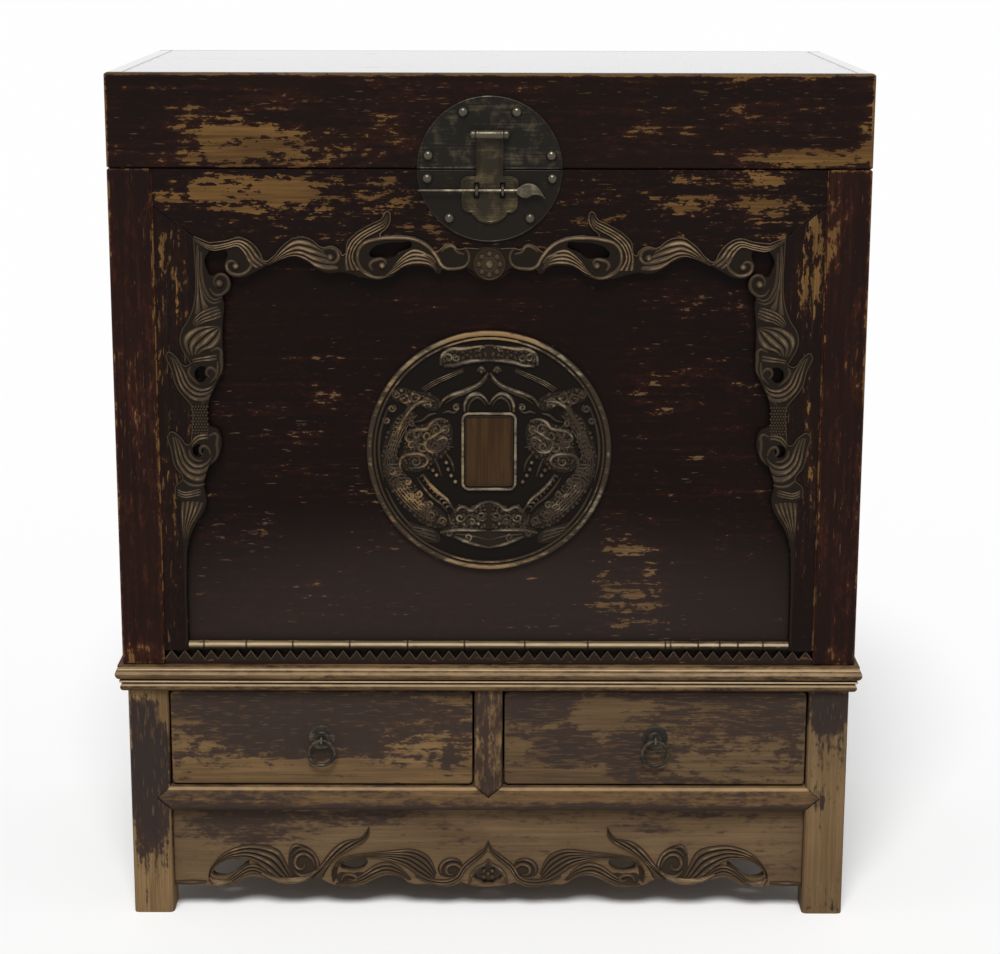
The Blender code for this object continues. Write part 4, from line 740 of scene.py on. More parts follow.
# groove: painted shade in creases and at the feet of carvings; body and ridge: lacquer and rubbed crests
carvedTones = {"groove": tone(14, 10, 8), "body": tone(64, 51, 38), "ridge": tone(140, 118, 90)}
carvedLook = {"wear": -0.10, "redness": 0.4, "tones": carvedTones, "carved": 0.0, "mottle": 0.5}
railLook = {
    **carvedLook, "grain": "X", "rugged": 1.5,
    "tones": {**carvedTones, "wood": tone(108, 79, 44), "lacquer": tone(11, 7, 6)},
    "patches": [
        (-0.2545, 0.857, 0.096, 0.027, 0.27), (-0.345, 0.856, 0.036, 0.026, 0.20),
        (-0.113, 0.856, 0.045, 0.026, 0.20), (-0.058, 0.828, 0.020, 0.034, 0.20),
        (0.265, 0.874, 0.085, 0.013, 0.26), (0.222, 0.845, 0.045, 0.017, 0.23), (0.310, 0.845, 0.055, 0.028, 0.23),
        (0.130, 0.835, 0.040, 0.030, 0.09), (-0.16, 0.835, 0.10, 0.02, 0.08),
    ],
}
stileLook = {
    **carvedLook, "grain": "Z", "carved": -0.06,
    "tones": {**carvedTones, "body": tone(57, 46, 35), "ridge": tone(115, 97, 74)},
    "patches": [(-0.356, 0.770, 0.022, 0.090, 0.16), (0.362, 0.780, 0.024, 0.095, 0.21),
                (0.364, 0.560, 0.012, 0.100, 0.08), (-0.364, 0.520, 0.012, 0.100, 0.06)],
}

belowTop = placing(boxTop, -1)
halfRail = path("375.7 0!, 375.7 40.2!, 330.5 74.9!") + rail["edge"]
middle = [(0.0, rail["middle"])]
railHoles = [outlined(hole, belowTop) for hole in (rail["hole"], mirrored(rail["hole"]))]
railLoops = [outlined(halfRail + middle + mirrored(halfRail[::-1]), belowTop), *railHoles]
railRibs = ribs([rail["handle"]], 2.5, 0.6, 0.5, 0.7) + ribs(rail["curls"], 2.2, 0.6, 0.5, 0.6)
railRibs += ribs(rail["fine"], 0.9, 0.6, 0.6)
railRibs += ribs([rail["crown"][n:n + 9] for n in range(0, 34, 8)], 0.9, 0.8, 0.8, 1.7)
crown = [(0.0, 86.7)] + rail["crown"]
groundEdge = crown + rail["edge"] + middle + mirrored(rail["edge"][::-1]) + mirrored(crown[:0:-1])
railGround = [outlined(groundEdge, belowTop), *railHoles]
knobs = [belowTop(sign * x, drop) for x, drop in rail["knobs"] for sign in (1, -1)]
rosetteZ, reach = boxTop - rail["drop"], rail["petals"]
petals = [(reach * math.cos(a * math.pi / 4), rosetteZ + reach * math.sin(a * math.pi / 4)) for a in range(8)]
rosette = turned(rail["rosette"], (0.0, frontY, rosetteZ))
railMaterial = wornLacquer("top_rail_lacquer", railLook)
piece("top_rail_carving",
      [cutBoard(railLoops, frontY, railThick, 0.0007), ground(railGround, frontY, 0.0012, crest=0.22),
       carve(railRibs, belowTop, frontY), standing(rosette, frontY, 0.0052),
       beads(petals, 0.0036, frontY - 0.0018, 0.55, 0.72), beads(knobs, 0.0042, frontY - 0.0012)]
      + leaves(rail["leaves"], belowTop, frontY, keen=1.0),
      railMaterial, "chest", ["carved_top_rail"])

stileRibs = ribs(stile["curls"], 2.1, 0.6, 0.5, 0.5) + ribs(stile["fine"], 1.2, 0.6, 0.8)
stileRibs += ribs([stile["rim"][n:n + 9] for n in range(0, 24, 8)], 0.9, 0.8, 0.8, 1.4)
stileEdge = path("375.7 40.8!, 330.5 75.5!") + stile["edge"]
stileRim = stile["rim"] + stile["edge"][-3::-1]
for side, sign in sides:
    place = placing(boxTop, -1, sign)
    loops = [outlined(loop, place) for loop in (stileEdge, *stile["holes"])]
    stileGround = [outlined(loop, place) for loop in (stileRim, *stile["holes"])]
    rows = [place(*spot) for spot in stile["beadRows"]]
    knob = [place(*stile["knob"])]
    material = wornLacquer("stile_" + side + "_lacquer", stileLook)
    piece("stile_carving_" + side,
          [cutBoard(loops, frontY, railThick, 0.0007), ground(stileGround, frontY, 0.0012, crest=0.24),
           carve(stileRibs, place, frontY, both=False), beads(rows, 0.0018, frontY - 0.0010, 0.8, 0.7, 7),
           beads(knob, 0.0048, frontY - 0.0012)]
          + leaves(stile["leaves"], place, frontY, (1,), 1.0),
          material, "chest", ["carved_stile_" + side])
print("carved border done")

# medallion: moulded rings, window and symmetrical scrollwork
medallion = {
    "centre": 0.56285, "field": -0.22755, "radius": 0.140, "window": (0.031, 0.045, 0.008),
    "rings": [(0.0112, 0.0), (0.0110, 0.0015), (0.0100, 0.0027), (0.0088, 0.0027), (0.0078, 0.0014),
              (0.0074, 0.0006), (0.0066, 0.0016), (0.0052, 0.0031), (0.0034, 0.0034), (0.0016, 0.0027),
              (0.0004, 0.0012), (0.0, -0.0010), (0.0, -0.0030)],  # inwards from the edge, and up
    "mane": (69.0, 12.0), "grains": (0.0017, 0.0022, 0.0028),
    "leaves": [  # two edges, flutes
        (path("99.5 40, 108.7 26.4, 114.8 11.9, 118.9 -2.7, 120.3 -17.3, 117.4 -30.8"),
         path("80.2 42.1, 90.4 30.6, 97.1 18.1, 103.4 5.6, 106 -6.9, 107.6 -19.4"), 5),
        (path("116.8 -33.9, 107.7 -48.5, 95.5 -63.1, 81.2 -75.6, 67 -82.9"),
         path("99.5 -30.7, 90.4 -43.2, 80.2 -54.7, 70.1 -65.1, 57.9 -74.4"), 5),
        (path("84.3 -98.1, 73.1 -103.1, 59.9 -107.9"),
         path("92.4 -87, 77.2 -89.1, 62.9 -93.2"), 3),
        (path("30.4 96.2, 46.7 89.9, 62.9 82.7, 77.2 73.3"),
         path("28.4 91.6, 45.7 83.7, 60.9 76.5, 72.1 68.1"), 3),
    ],
    "bold": [
        path("54.8 99.3, 52.8 111.8, 43.6 117.6, 30.4 118.1, 18.2 120.1, 0.1 122.2"),
        path("49.7 98.9, 38.5 99.7, 28.4 103.1, 18.2 104.7, 8.1 105.1, 0.1 105.1"),
        path("0.9 91, 10.1 79.5, 26.3 71.2, 40.6 66, 50.7 60.8, 56.8 51.4"),
        path("28 46.1, 27.4 55.6, 22.3 63.9, 14.1 67, 7 63.9, 0.1 54.6"),
        path("46.7 34.8, 55.8 37.3, 65 33.7, 71.1 26.4, 81.2 24.8, 91.4 21.2, 94.5 14, 87.3 10.2, 78.2 14"),
        path("46.7 26.4, 55.8 22.3, 65 16, 72.7 9.4, 69 1, 58.9 -1, 49.7 5.6"),
        path("47.7 16, 56.8 14, 61.9 7.7"),
        path("99.5 -24.6, 102 -15.2, 98.5 -6.9, 89.4 -3.7, 75.1 -4.8, 70.1 -11, 77.2 -18.3, 91.4 -19.8"),
        path("76.2 -26.7, 68 -38.1, 57.9 -48.5, 48.7 -55.8, 40.6 -68.3"),
        path("39.6 -72.5, 31.4 -65.2, 20.2 -69.3, 11.1 -62.7, 0.1 -59.3"),
        path("39.6 -100.6, 30.4 -104.3, 17.2 -109.3, 0.1 -113.5"),
        path("55.8 -96, 40.6 -93.1, 20.2 -92.7, 3 -93.5"),
        path("62 58.5, 79.4 56.5, 94 41.8, 103.5 21, 105.5 2.5"),
        path("4.6 92.4, 9 96.6, 13.6 92.6"),
    ],
    "fine": [
        path("2 85.2, 11.1 76, 27.4 67.5, 40.6 61.8, 49.7 55.6"),
        path("24.1 46.1, 23 53.9, 18.2 60.2, 13.1 62.3, 7.6 58.9, 3.6 53.5"),
        path("82.3 -30.8, 74.1 -43.3, 64 -54.8, 54.8 -62, 47.7 -71.4"),
        path("30.4 -77.7, 20.2 -75.2, 11.1 -79.3, 0.1 -73.5"),
        path("46.7 -73.5, 43.6 -82.9, 38.5 -90.2, 46.7 -93.3"),
        path("38.5 -97.7, 20.2 -99.7, 0.1 -104.7"),
        path("52.8 44.1, 46.7 46.2, 40.6 44.8, 35.5 46.2"),
        path("85 55, 92 50, 96 44"),
        path("60 44, 68 42, 76 36, 84 34"),
        path("50 -2, 46 -7, 42 -14, 40 -24"),
        path("62 -8, 58 -18, 54 -30"),
        path("114.7 51.1, 123.7 21.8, 125.3 -8.8, 120.7 -34.6"),
        path("118 -43, 106.5 -66.6, 90.3 -87.2, 73.8 -101.6"),
    ],
    "beads": path("48.7 -13.1, 46.7 -21, 43.2 -28.3, 38.5 -35.6, 9 92.6, 106 66.5, 99.5 70.4, 93.4 64.4, "
                  "86.9 66.9, 80.2 61.6, 69.4 60.5, 66.6 53.3, 73.1 53.6, 100 60, 90 58, 60 -28, 64 -22, "
                  "20 -84, 28 -86, 12 -85"),
    "fringe": [[(x, 106.0), (x, 118.0)] for x in (4.0, 10.0, 16.0, 22.0, 28.0)],
    "grounds": [
        path("91 26, 75 31, 58 38, 44 33, 41 16, 47 -2, 60 -12, 72 -22, 94 -24, 103 -12, 97 4"),
        path("84 46, 103 42, 116 20, 123 -4, 120 -30, 108 -52, 90 -74, 66 -90, 46 -86, 50 -74, 68 -58, 84 -40, "
             "95 -26, 104 -10, 102 8, 92 28"),
        path("112 64, 102 74, 84 70, 64 66, 54 56, 62 46, 78 52, 96 54"),
        path("0 124, 20 122, 46 120, 55 110, 53 98, 38 97.5, 20 102, 0 103"),
        path("0 -57, 12 -60, 22 -66, 34 -63, 43 -72, 46 -90, 30 -91, 0 -92"),
        path("0 -92.6, 30 -91, 57 -94, 52 -100, 36 -104, 16 -111, 0 -115"),
        path("95 -84, 84 -98.5, 60 -109, 55 -104, 64 -91, 80 -87"),
    ],
    "scrolls": [  # x, up, size, turn, hand
        (60.0, 25.0, 7.0, 20, 1), (70.0, 18.0, 7.5, 110, 1), (82.0, 19.0, 6.0, 200, -1),
        (52.0, 12.0, 6.5, 300, 1), (62.0, 6.0, 7.0, 60, -1), (76.0, 5.0, 6.5, 150, 1),
        (88.0, 7.0, 6.0, 250, -1), (50.0, 26.0, 5.5, 330, -1), (84.0, -12.0, 7.0, 40, 1),
        (96.0, 60.0, 6.5, 30, 1), (84.0, 61.0, 6.0, 160, -1), (70.0, 57.0, 6.5, 280, 1),
        (105.0, 66.0, 5.0, 70, -1), (108.0, 16.0, 5.5, 100, 1), (113.0, -4.0, 5.5, 60, -1),
        (111.0, -24.0, 5.5, 20, 1), (102.0, -42.0, 6.0, 330, -1), (90.0, -54.0, 6.0, 300, 1),
        (78.0, -66.0, 6.0, 280, -1), (66.0, -76.0, 6.5, 250, 1), (54.0, -82.0, 5.0, 220, -1),
        (93.0, -36.0, 4.5, 40, 1), (80.0, -50.0, 4.5, 10, -1), (68.0, -63.0, 4.5, 350, 1),
        (33.0, -78.0, 6.0, 120, 1), (20.0, -82.0, 5.0, 30, -1), (8.0, -76.0, 6.0, 200, 1),
        (46.0, 108.0, 6.0, 300, 1), (37.0, 108.0, 4.5, 90, -1), (46.0, -97.0, 4.0, 10, 1),
        (24.0, -101.0, 5.0, 340, -1), (74.0, -96.0, 5.0, 200, 1), (110.5, 50.0, 4.8, 120, 1),
        (116.5, 36.0, 4.2, 60, -1), (88.0, 33.0, 4.0, 200, 1), (37.0, 51.0, 4.0, 140, -1),
    ],
    "feathers": [  # inner start, outer start, inner end, outer end, count
        ((97.0, 34.0), (106.0, 38.0), (105.0, -6.0), (119.0, -4.0), 9),
        ((104.0, -16.0), (119.0, -20.0), (88.0, -42.0), (106.0, -52.0), 8),
        ((84.0, -46.0), (100.0, -60.0), (58.0, -72.0), (68.0, -88.0), 9),
        ((72.0, -30.0), (79.0, -31.0), (44.0, -65.0), (49.0, -68.0), 9),
    ],
}
medallionLook = {
    "grain": "X", "wear": -0.12, "redness": 0.25, "carved": -0.02, "mottle": 1.0,
    "tones": {"groove": tone(16, 12, 9), "body": tone(51, 42, 33), "ridge": tone(126, 114, 93),
              "gilt": tone(130, 98, 57)},
    "polish": [(0.125, 0.600, 0.045, 0.100, -0.26), (0.0, 0.700, 0.100, 0.025, 0.26),
               (-0.06, 0.515, 0.05, 0.05, 0.10), (-0.137, 0.550, 0.030, 0.130, -0.22),
               (0.090, 0.452, 0.080, 0.050, -0.20), (-0.090, 0.450, 0.050, 0.050, -0.20)],
    "gilt": [(-0.095, 0.555, 0.075, 0.150, 0.75), (0.0, 0.702, 0.150, 0.025, 0.7),
             (0.03, 0.425, 0.13, 0.030, 0.7)],
    "patches": [(0.0, 0.56285, 0.034, 0.050, 0.12), (-0.05, 0.665, 0.06, 0.02, 0.05),
                (0.06, 0.48, 0.05, 0.04, 0.04)],
}
onDisc = placing(medallion["centre"])


def windowLoop(grow):  # corners of the window, rounded
    wide, high, bend = (value + grow for value in medallion["window"])
    corners = [(wide - bend, high - bend, 0), (bend - wide, high - bend, 90),
               (bend - wide, bend - high, 180), (wide - bend, bend - high, 270)]
    return [(x + bend * math.cos(a), medallion["centre"] + z + bend * math.sin(a)) for x, z, start in corners
            for a in [math.radians(start + 18 * n) for n in range(6)]]


def windowRun(grow, y, radius):
    points = [(x, y, z, "sharp") for x, z in windowLoop(grow)]
    return {"points": points, "radii": [radius] * len(points), "closed": True}


discLeaves = [(a, b, count, 2.6, 0.5, 0.5) for a, b, count in medallion["leaves"]]
discRibs = ribs(medallion["bold"], 2.7, 0.6, 0.5, 0.8) + ribs(medallion["fine"], 1.8, 0.6, 0.5, 0.6)
discRibs += ribs(medallion["fringe"], 1.5, 0.8, 0.8, 0.4)
spirals, rays, barbs = [], [], []
for x, up, size, start, hand in medallion["scrolls"]:
    turns = [(math.radians(start + hand * 50 * n), size * (1.0 - 0.085 * n)) for n in range(10)]
    spirals.append([(x + reach * math.cos(a), up + reach * math.sin(a)) for a, reach in turns])
maneX, maneUp = medallion["mane"]
for n in range(15):  # a mane of short rays on either side of the window
    a, near, far = math.radians(24 * n), 9.0 + 2.0 * (n % 2), 20.0 + 5.0 * (n % 3)
    rays.append([(maneX + reach * math.cos(a + curl), maneUp + 0.8 * reach * math.sin(a + curl))
                 for reach, curl in ((near, 0.0), ((near + far) / 2, 0.16), (far, 0.10))])
for inner, outer, innerEnd, outerEnd, count in medallion["feathers"]:
    for n in range(count):
        share = n / (count - 1)
        start, stop = Vector(inner).lerp(Vector(innerEnd), share), Vector(outer).lerp(Vector(outerEnd), share)
        bend = (start + stop) / 2 + Vector((1.5, 1.8))
        barbs.append([tuple(start), tuple(bend), tuple(stop)])
discRibs += ribs(spirals, 1.8, 0.7, 0.9, 1.0) + ribs(rays, 1.4, 0.8, 0.6, 0.8) + ribs(barbs, 1.6, 0.7, 0.6, 1.0)
discGrounds = []
for shape in medallion["grounds"]:
    if shape[0][0]:
        loops = [shape, mirrored(shape)]
    else:  # across the middle line
        loops = [shape + mirrored(shape[-2:0:-1])]
    discGrounds += [outlined(loop, onDisc) for loop in loops]
field = medallion["field"]


def within(x, up, loop):  # is a spot inside an outline
    hits = 0
    for (ax, az), (bx, bz) in zip(loop, loop[1:] + loop[:1]):
        if (az > up) != (bz > up) and x < ax + (up - az) / (bz - az) * (bx - ax):
            hits += 1
    return hits % 2 == 1


chance = random.Random(11)
grains = [[], [], []]
for shape in medallion["grounds"][:5]:
    for row in range(-23, 25):
        for column in range(0, 25):
            x, up = 5.0 * column + chance.uniform(-1.8, 1.8), 5.0 * row + chance.uniform(-1.8, 1.8)
            size = chance.randrange(3)
            if x > 3.0 and within(x, up, shape):
                grains[size] += [onDisc(x, up), onDisc(-x, up)]
discProfile = [(medallion["radius"] - inset, rise) for inset, rise in medallion["rings"]]
disc = turned([(0.0, 0.0), *discProfile, (0.0, -0.0030)], (0.0, field, medallion["centre"]), 128)
frames = tubes([windowRun(-0.0010, field - 0.0018, 0.0018), windowRun(-0.0046, field - 0.0008, 0.0010)], 2, 1)
spots = [onDisc(sign * x, up) for x, up in medallion["beads"] for sign in (1, -1)]
pane = [(*spot, "sharp") for spot in windowLoop(-0.0052)]
paneLook = {"grain": "Z", "wear": 0.22, "soft": 0.12, "rugged": 0.6, "redness": 0.3,
            "tones": {"wood": tone(70, 50, 29), "woodDark": tone(46, 32, 18), "lacquer": tone(34, 24, 16)}}
piece("medallion_window", [cutBoard([pane], field - 0.0006, 0.0012, 0.0003, 1)],
      wornLacquer("window_wood", paneLook), "chest")
medallionMaterial = wornLacquer("medallion_lacquer", medallionLook)
piece("medallion_carving",
      [standing(disc, field, 0.0030), carve(discRibs, onDisc, field), standing(frames, field, 0.0033),
       beads(spots, 0.0030, field - 0.0006, 0.9)]
      + [beads(grain[n:n + 24], size, field - 0.0008, 0.75, 0.8, 7)
         for grain, size in zip(grains, medallion["grains"]) for n in range(0, len(grain), 24)]
      + [ground([loop], field, 0.0008, 3, 0.30) for loop in discGrounds]
      + leaves(discLeaves, onDisc, field),
      medallionMaterial, "chest", ["medallion"])
print("medallion done")

# foot of the box: bamboo rod over a row of teeth
bamboo = {"half": 0.3475, "y": -0.23015, "z": 0.3327, "radius": 0.0051,
          "knots": (-330, -281, -227, -161, -94, -28, 42, 115, 205, 211, 243, 268, 289, 318),
          "swells": ((-7.0, 0.98), (-2.2, 1.10), (-0.7, 1.06), (0.0, 0.88), (0.7, 1.06), (2.2, 1.10), (7.0, 0.98))}
points, radii = [(-bamboo["half"], bamboo["y"], bamboo["z"])], [bamboo["radius"]]
for knot in bamboo["knots"]:
    for step, swell in bamboo["swells"]:
        x = (knot + step) * mm
        if x > points[-1][0] + 0.0005:
            points.append((x, bamboo["y"], bamboo["z"]))
            radii.append(bamboo["radius"] * swell)
points.append((bamboo["half"], bamboo["y"], bamboo["z"]))
radii.append(bamboo["radius"])
# the bamboo knots share the dark band tone, as dark lines round each node
knotLines = [(knot * mm, bamboo["z"], 0.0016, 0.009, 0.85, "shadeAndGrime") for knot in bamboo["knots"]]
bambooLook = {
    "grain": "X", "wear": 0.27, "redness": 0.3, "rough": 0.4,
    "tones": {"wood": tone(118, 98, 71), "woodDark": tone(74, 58, 40), "lacquer": tone(42, 33, 27),
              "paintedHighlight": tone(184, 168, 136), "shadeAndGrime": tone(34, 26, 19)},
    "patches": [(0.28, 0.3327, 0.10, 0.02, -0.18)], "soft": 0.08, "rugged": 0.9,
    # painted highlight along the top of the rod and painted shade along its underside
    "bands": [(0.0, 0.3348, 9.0, 0.0017, 0.75, "paintedHighlight"), (0.0, 0.3290, 9.0, 0.0034, 0.95, "shadeAndGrime"),
              *knotLines],
}
rod = tubes([{"points": [(*point, "sharp") for point in points], "radii": radii}], 4, 1)
piece("bamboo_rod", [rod], wornLacquer("bamboo_wood", bambooLook), "chest", ["bamboo_moulding"],
      50)

teeth = {"half": 0.3757, "count": 49, "low": 0.3163, "top": 0.3268, "base": 0.3103, "front": -0.23255,
         "thick": 0.008, "line": 0.0010, "sink": 0.0003}
pitch = 2 * teeth["half"] / teeth["count"]
zigzag = [(teeth["half"], teeth["base"], "sharp"), (teeth["half"], teeth["low"], "sharp")]
for index in range(teeth["count"]):
    x = teeth["half"] - pitch * index
    zigzag += [(x - pitch / 2, teeth["top"], "sharp"), (x - pitch, teeth["low"], "sharp")]
zigzag.append((-teeth["half"], teeth["base"], "sharp"))
teethLook = {"grain": "X", "wear": -0.06, "redness": 0.4, "carved": 0.0,
             "tones": {"lacquer": tone(34, 27, 22), "groove": tone(34, 27, 22), "body": tone(62, 52, 42),
                       "ridge": tone(112, 96, 74)}}
lineY = teeth["front"] + teeth["sink"]
outline = {"points": [(x, lineY, z - 0.0006, "sharp") for x, z, _ in zigzag[1:-1]],
           "radii": [teeth["line"]] * (len(zigzag) - 2)}
piece("tooth_row",
      [cutBoard([zigzag], teeth["front"], teeth["thick"], 0.0011, 1),
       standing(tubes([outline], 1, 1), lineY, teeth["line"])],
      wornLacquer("tooth_lacquer", teethLook), "chest", ["tooth_rail"])

# thin bead lines where the posts meet the carved border
postBead = {"heights": (0.3290, 0.50, 0.70, boxTop - 0.0005), "proud": 0.0002, "radius": 0.0011}
for side, sign in sides:
    line = {"points": [(sign * teeth["half"], frontY - postBead["proud"], z) for z in postBead["heights"]],
            "radii": [postBead["radius"]] * len(postBead["heights"])}
    material = wornLacquer("bead_" + side + "_lacquer", {**postLook, "wear": 0.09, "patches": []})
    piece("post_bead_" + side, [tubes([line])], material, "chest")
print("foot mouldings done")

# stand: mouldings, legs, rail, divider and boards in worn wood
standTones = {"wood": tone(132, 105, 72), "woodDark": tone(92, 71, 47), "lacquer": tone(50, 41, 36),
              "under": tone(76, 52, 37), "fleck": tone(92, 70, 48)}
frameLook = {
    "soft": 0.10, "wear": 0.15, "redness": 0.3, "rugged": 0.75, "rough": 0.45,
    "tones": {**standTones, "wood": tone(122, 97, 66), "woodDark": tone(78, 59, 39), "lacquer": tone(46, 34, 26),
              "paintedHighlight": tone(196, 170, 133), "shadeAndGrime": tone(34, 26, 19)},
    # painted highlights on the tops of the beads, painted shade in the grooves and under the beads
    "bands": [(0.0, 0.3062, 9.0, 0.0017, 0.85, "paintedHighlight"), (0.0, 0.3012, 9.0, 0.0022, 0.30, "paintedHighlight"),
              (0.0, 0.2922, 9.0, 0.0018, 0.95, "shadeAndGrime"), (0.0, 0.2904, 9.0, 0.0011, 0.80, "paintedHighlight"),
              (0.0, 0.2883, 9.0, 0.0013, 0.95, "shadeAndGrime"), (0.0, 0.2858, 9.0, 0.0016, 0.50, "paintedHighlight"),
              (0.0, 0.2790, 9.0, 0.0018, 0.60, "shadeAndGrime")],
}


def arc(x, z, radius, start, end, count):
    turns = [math.radians(start + (end - start) * i / count) for i in range(count + 1)]
    return [(x + radius * math.cos(a), z + radius * math.sin(a)) for a in turns]


mould = {"height": 0.032, "width": 0.062, "fillet": 0.003, "bow": (0.0080, 0.0074), "thread": 0.0017,
         "bead": 0.0049, "inset": 0.005}
bowX, bowZ = mould["bow"]
profile = [(-mould["width"], 0.0), (-mould["fillet"], 0.0), (-mould["fillet"], -mould["fillet"])]
profile += [(bowX * (x - 1), bowZ * (z - 1) - mould["fillet"]) for x, z in arc(0.0, 0.0, 1.0, 84, -90, 14)]
profile += arc(-0.0040 - mould["thread"], -0.0180 - mould["thread"], mould["thread"], 90, -90, 6)
profile += arc(-mould["inset"] - mould["bead"], mould["bead"] - mould["height"], mould["bead"], 75, -90, 9)
profile += [(-mould["width"], -mould["height"])]
frontEdge, backEdge, sideEdge = frontY - frameOut, backY + frameOut, sideX + frameOut
members = {
    "front": (2 * sideEdge, (0.0, frontEdge), -90.0, "X"), "back": (2 * sideEdge, (0.0, backEdge), 90.0, "X"),
    "right": (backEdge - frontEdge, (sideEdge, (frontEdge + backEdge) / 2), 0.0, "Y"),
    "left": (backEdge - frontEdge, (-sideEdge, (frontEdge + backEdge) / 2), 180.0, "Y"),
}
for side, (length, (x, y), facing, grain) in members.items():
    bm = bmesh.new()
    face = bm.faces.new([bm.verts.new((px, -length / 2, pz)) for px, pz in profile])
    grown = bmesh.ops.extrude_face_region(bm, geom=[face])["geom"]
    moved = [item for item in grown if isinstance(item, bmesh.types.BMVert)]
    bmesh.ops.translate(bm, vec=(0.0, length, 0.0), verts=moved)
    for vert in bm.verts:  # mitred ends
        vert.co.y -= math.copysign(0.0003 - vert.co.x, vert.co.y)
    bmesh.ops.recalc_face_normals(bm, faces=bm.faces[:])
    matrix = Matrix.Translation((x, y, standTop)) @ Matrix.Rotation(math.radians(facing), 4, "Z")
    bmesh.ops.transform(bm, matrix=matrix, verts=bm.verts[:])
    material = wornLacquer("frame_" + side + "_wood", {**frameLook, "grain": grain})
    piece("stand_moulding_" + side, [bmMesh(bm)], material, "chest", ["stand_frame_" + side], 32)


def domed(points, front, back, rounds):  # a front drawn in X and Z, rounded over towards its middle
    bm = bmesh.new()
    face = bm.faces.new([bm.verts.new((x, back, z)) for x, z in points])
    area = sum(p[0] * q[1] - q[0] * p[1] for p, q in zip(points, points[1:] + points[:1]))
    if face.normal.y > 0 or area < 0:
        face.normal_flip()
    grown = bmesh.ops.extrude_face_region(bm, geom=[face])["geom"]
    moved = [item for item in grown if isinstance(item, bmesh.types.BMVert)]
    bmesh.ops.translate(bm, vec=(0.0, front - back, 0.0), verts=moved)
    bmesh.ops.recalc_face_normals(bm, faces=bm.faces[:])
    cap = min(bm.faces, key=lambda f: f.calc_center_median().y)
    for inset, rise in rounds:
        bmesh.ops.inset_region(bm, faces=[cap], thickness=inset, depth=rise, use_even_offset=True)
    bmesh.ops.recalc_face_normals(bm, faces=bm.faces[:])
    return bmMesh(bm)


rounding = [(0.0005, 0.0011), (0.0010, 0.0011), (0.0016, 0.0009), (0.0024, 0.0006)]
joint = {"tip": 0.016, "gap": 0.0003, "notch": (0.0168, 0.0146), "point": (0.0165, 0.014), "rise": 0.005,
         "front": 0.0020, "seam": 0.0099, "core": 0.0095, "back": 0.042}
tip, end, mid = legInner + joint["tip"], legInner - joint["gap"], (railTop + railBase) / 2
(notch, notchDrop), (wide, pointDrop) = joint["notch"], joint["point"]
railShape = [(-tip, mid), (-end, railBase), (end, railBase), (tip, mid), (end, railTop), (notch, railTop),
             (0.0, railTop - notchDrop), (-notch, railTop), (-end, railTop)]
dividerTop = legTop + joint["rise"]
dividerShape = [(wide, dividerTop), (-wide, dividerTop), (-wide, railTop), (0.0, railTop - pointDrop),
                (wide, railTop)]
faceY, seamY, coreY, coreBack = (legFront + joint[key] for key in ("front", "seam", "core", "back"))
standLook = {"wear": 0.12, "redness": 0.4, "tones": standTones, "rough": 0.5, "soft": 0.08, "rugged": 0.6,
             "sparse": 0.58}
railStandLook = {
    **standLook, "grain": "X", "soft": 0.10,
    # the first patch spans the whole rail and keeps dark lacquer along its lower edge: painted shade
    "patches": [(0.0, 0.1300, 2.0, 0.010, -0.12), (-0.30, 0.148, 0.09, 0.012, -0.05),
                (0.0, 0.1500, 0.30, 0.010, 0.05)],
    "tones": {**standTones, "wood": tone(118, 92, 61), "woodDark": tone(88, 67, 44),
              "paintedHighlight": tone(166, 138, 102), "shadeAndGrime": tone(50, 40, 33)},
    # painted highlight along the top of the rail and painted shade along its lower half
    "bands": [(0.0, 0.1562, 9.0, 0.0022, 0.60, "paintedHighlight"), (0.0, 0.1312, 9.0, 0.0040, 0.60, "shadeAndGrime")],
}
piece("drawer_rail_moulding",
      [domed(railShape, faceY, seamY, rounding),
       brick((-0.3735, coreY, railBase), (0.3735, coreBack, railTop))],
      wornLacquer("drawer_rail_wood", railStandLook), "chest", ["drawer_rail"], 25)
piece("drawer_divider_moulding",
      [domed(dividerShape, faceY, seamY, rounding),
       brick((-wide, coreY, railTop + joint["gap"]), (wide, coreBack, legTop))],
      wornLacquer("divider_wood", {**standLook, "grain": "Z", "wear": 0.05}), "chest", ["drawer_divider"],
      25)

legPatches = {
    "front_left": [(-0.398, 0.185, 0.040, 0.135, -0.22), (-0.395, 0.03, 0.04, 0.06, 0.10),
                   (-0.382, 0.255, 0.012, 0.035, 0.17), (-0.402, 0.272, 0.020, 0.012, 0.14),
                   (-0.424, 0.215, 0.008, 0.020, 0.14)],
    "front_right": [(0.398, 0.262, 0.036, 0.040, -0.22), (0.395, 0.10, 0.05, 0.12, 0.10),
                    (0.385, 0.145, 0.020, 0.022, -0.10)],
    "back_left": [(-0.395, 0.22, 0.05, 0.09, -0.16)],
    "back_right": [(0.395, 0.20, 0.05, 0.11, -0.16)],
}
for corner, patches in legPatches.items():
    node = "stand_leg_" + corner
    pale = tone(130, 105, 73) if "left" in corner else tone(115, 93, 65)
    legTones = {**standTones, "wood": pale, "woodDark": tone(92, 72, 48), "lacquer": tone(44, 37, 34)}
    look = {**standLook, "grain": "Z", "patches": patches, "edge": 0.14, "reach": 0.007, "soft": 0.05,
            "tones": legTones}
    dressWood(node, look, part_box(node), "wood")
for node, grain in (("stand_side_left", "Y"), ("stand_side_right", "Y"), ("stand_back", "X")):
    look = {**standLook, "grain": grain, "wear": 0.07, "rugged": 0.5, "broad": 0.4, "edge": 0.12, "reach": 0.008}
    dressWood(node, look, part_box(node), "wood")
for node in ("runner_left", "runner_centre", "runner_right"):
    dressWood(node, {**bareLook, "grain": "Y"}, kind="wood")

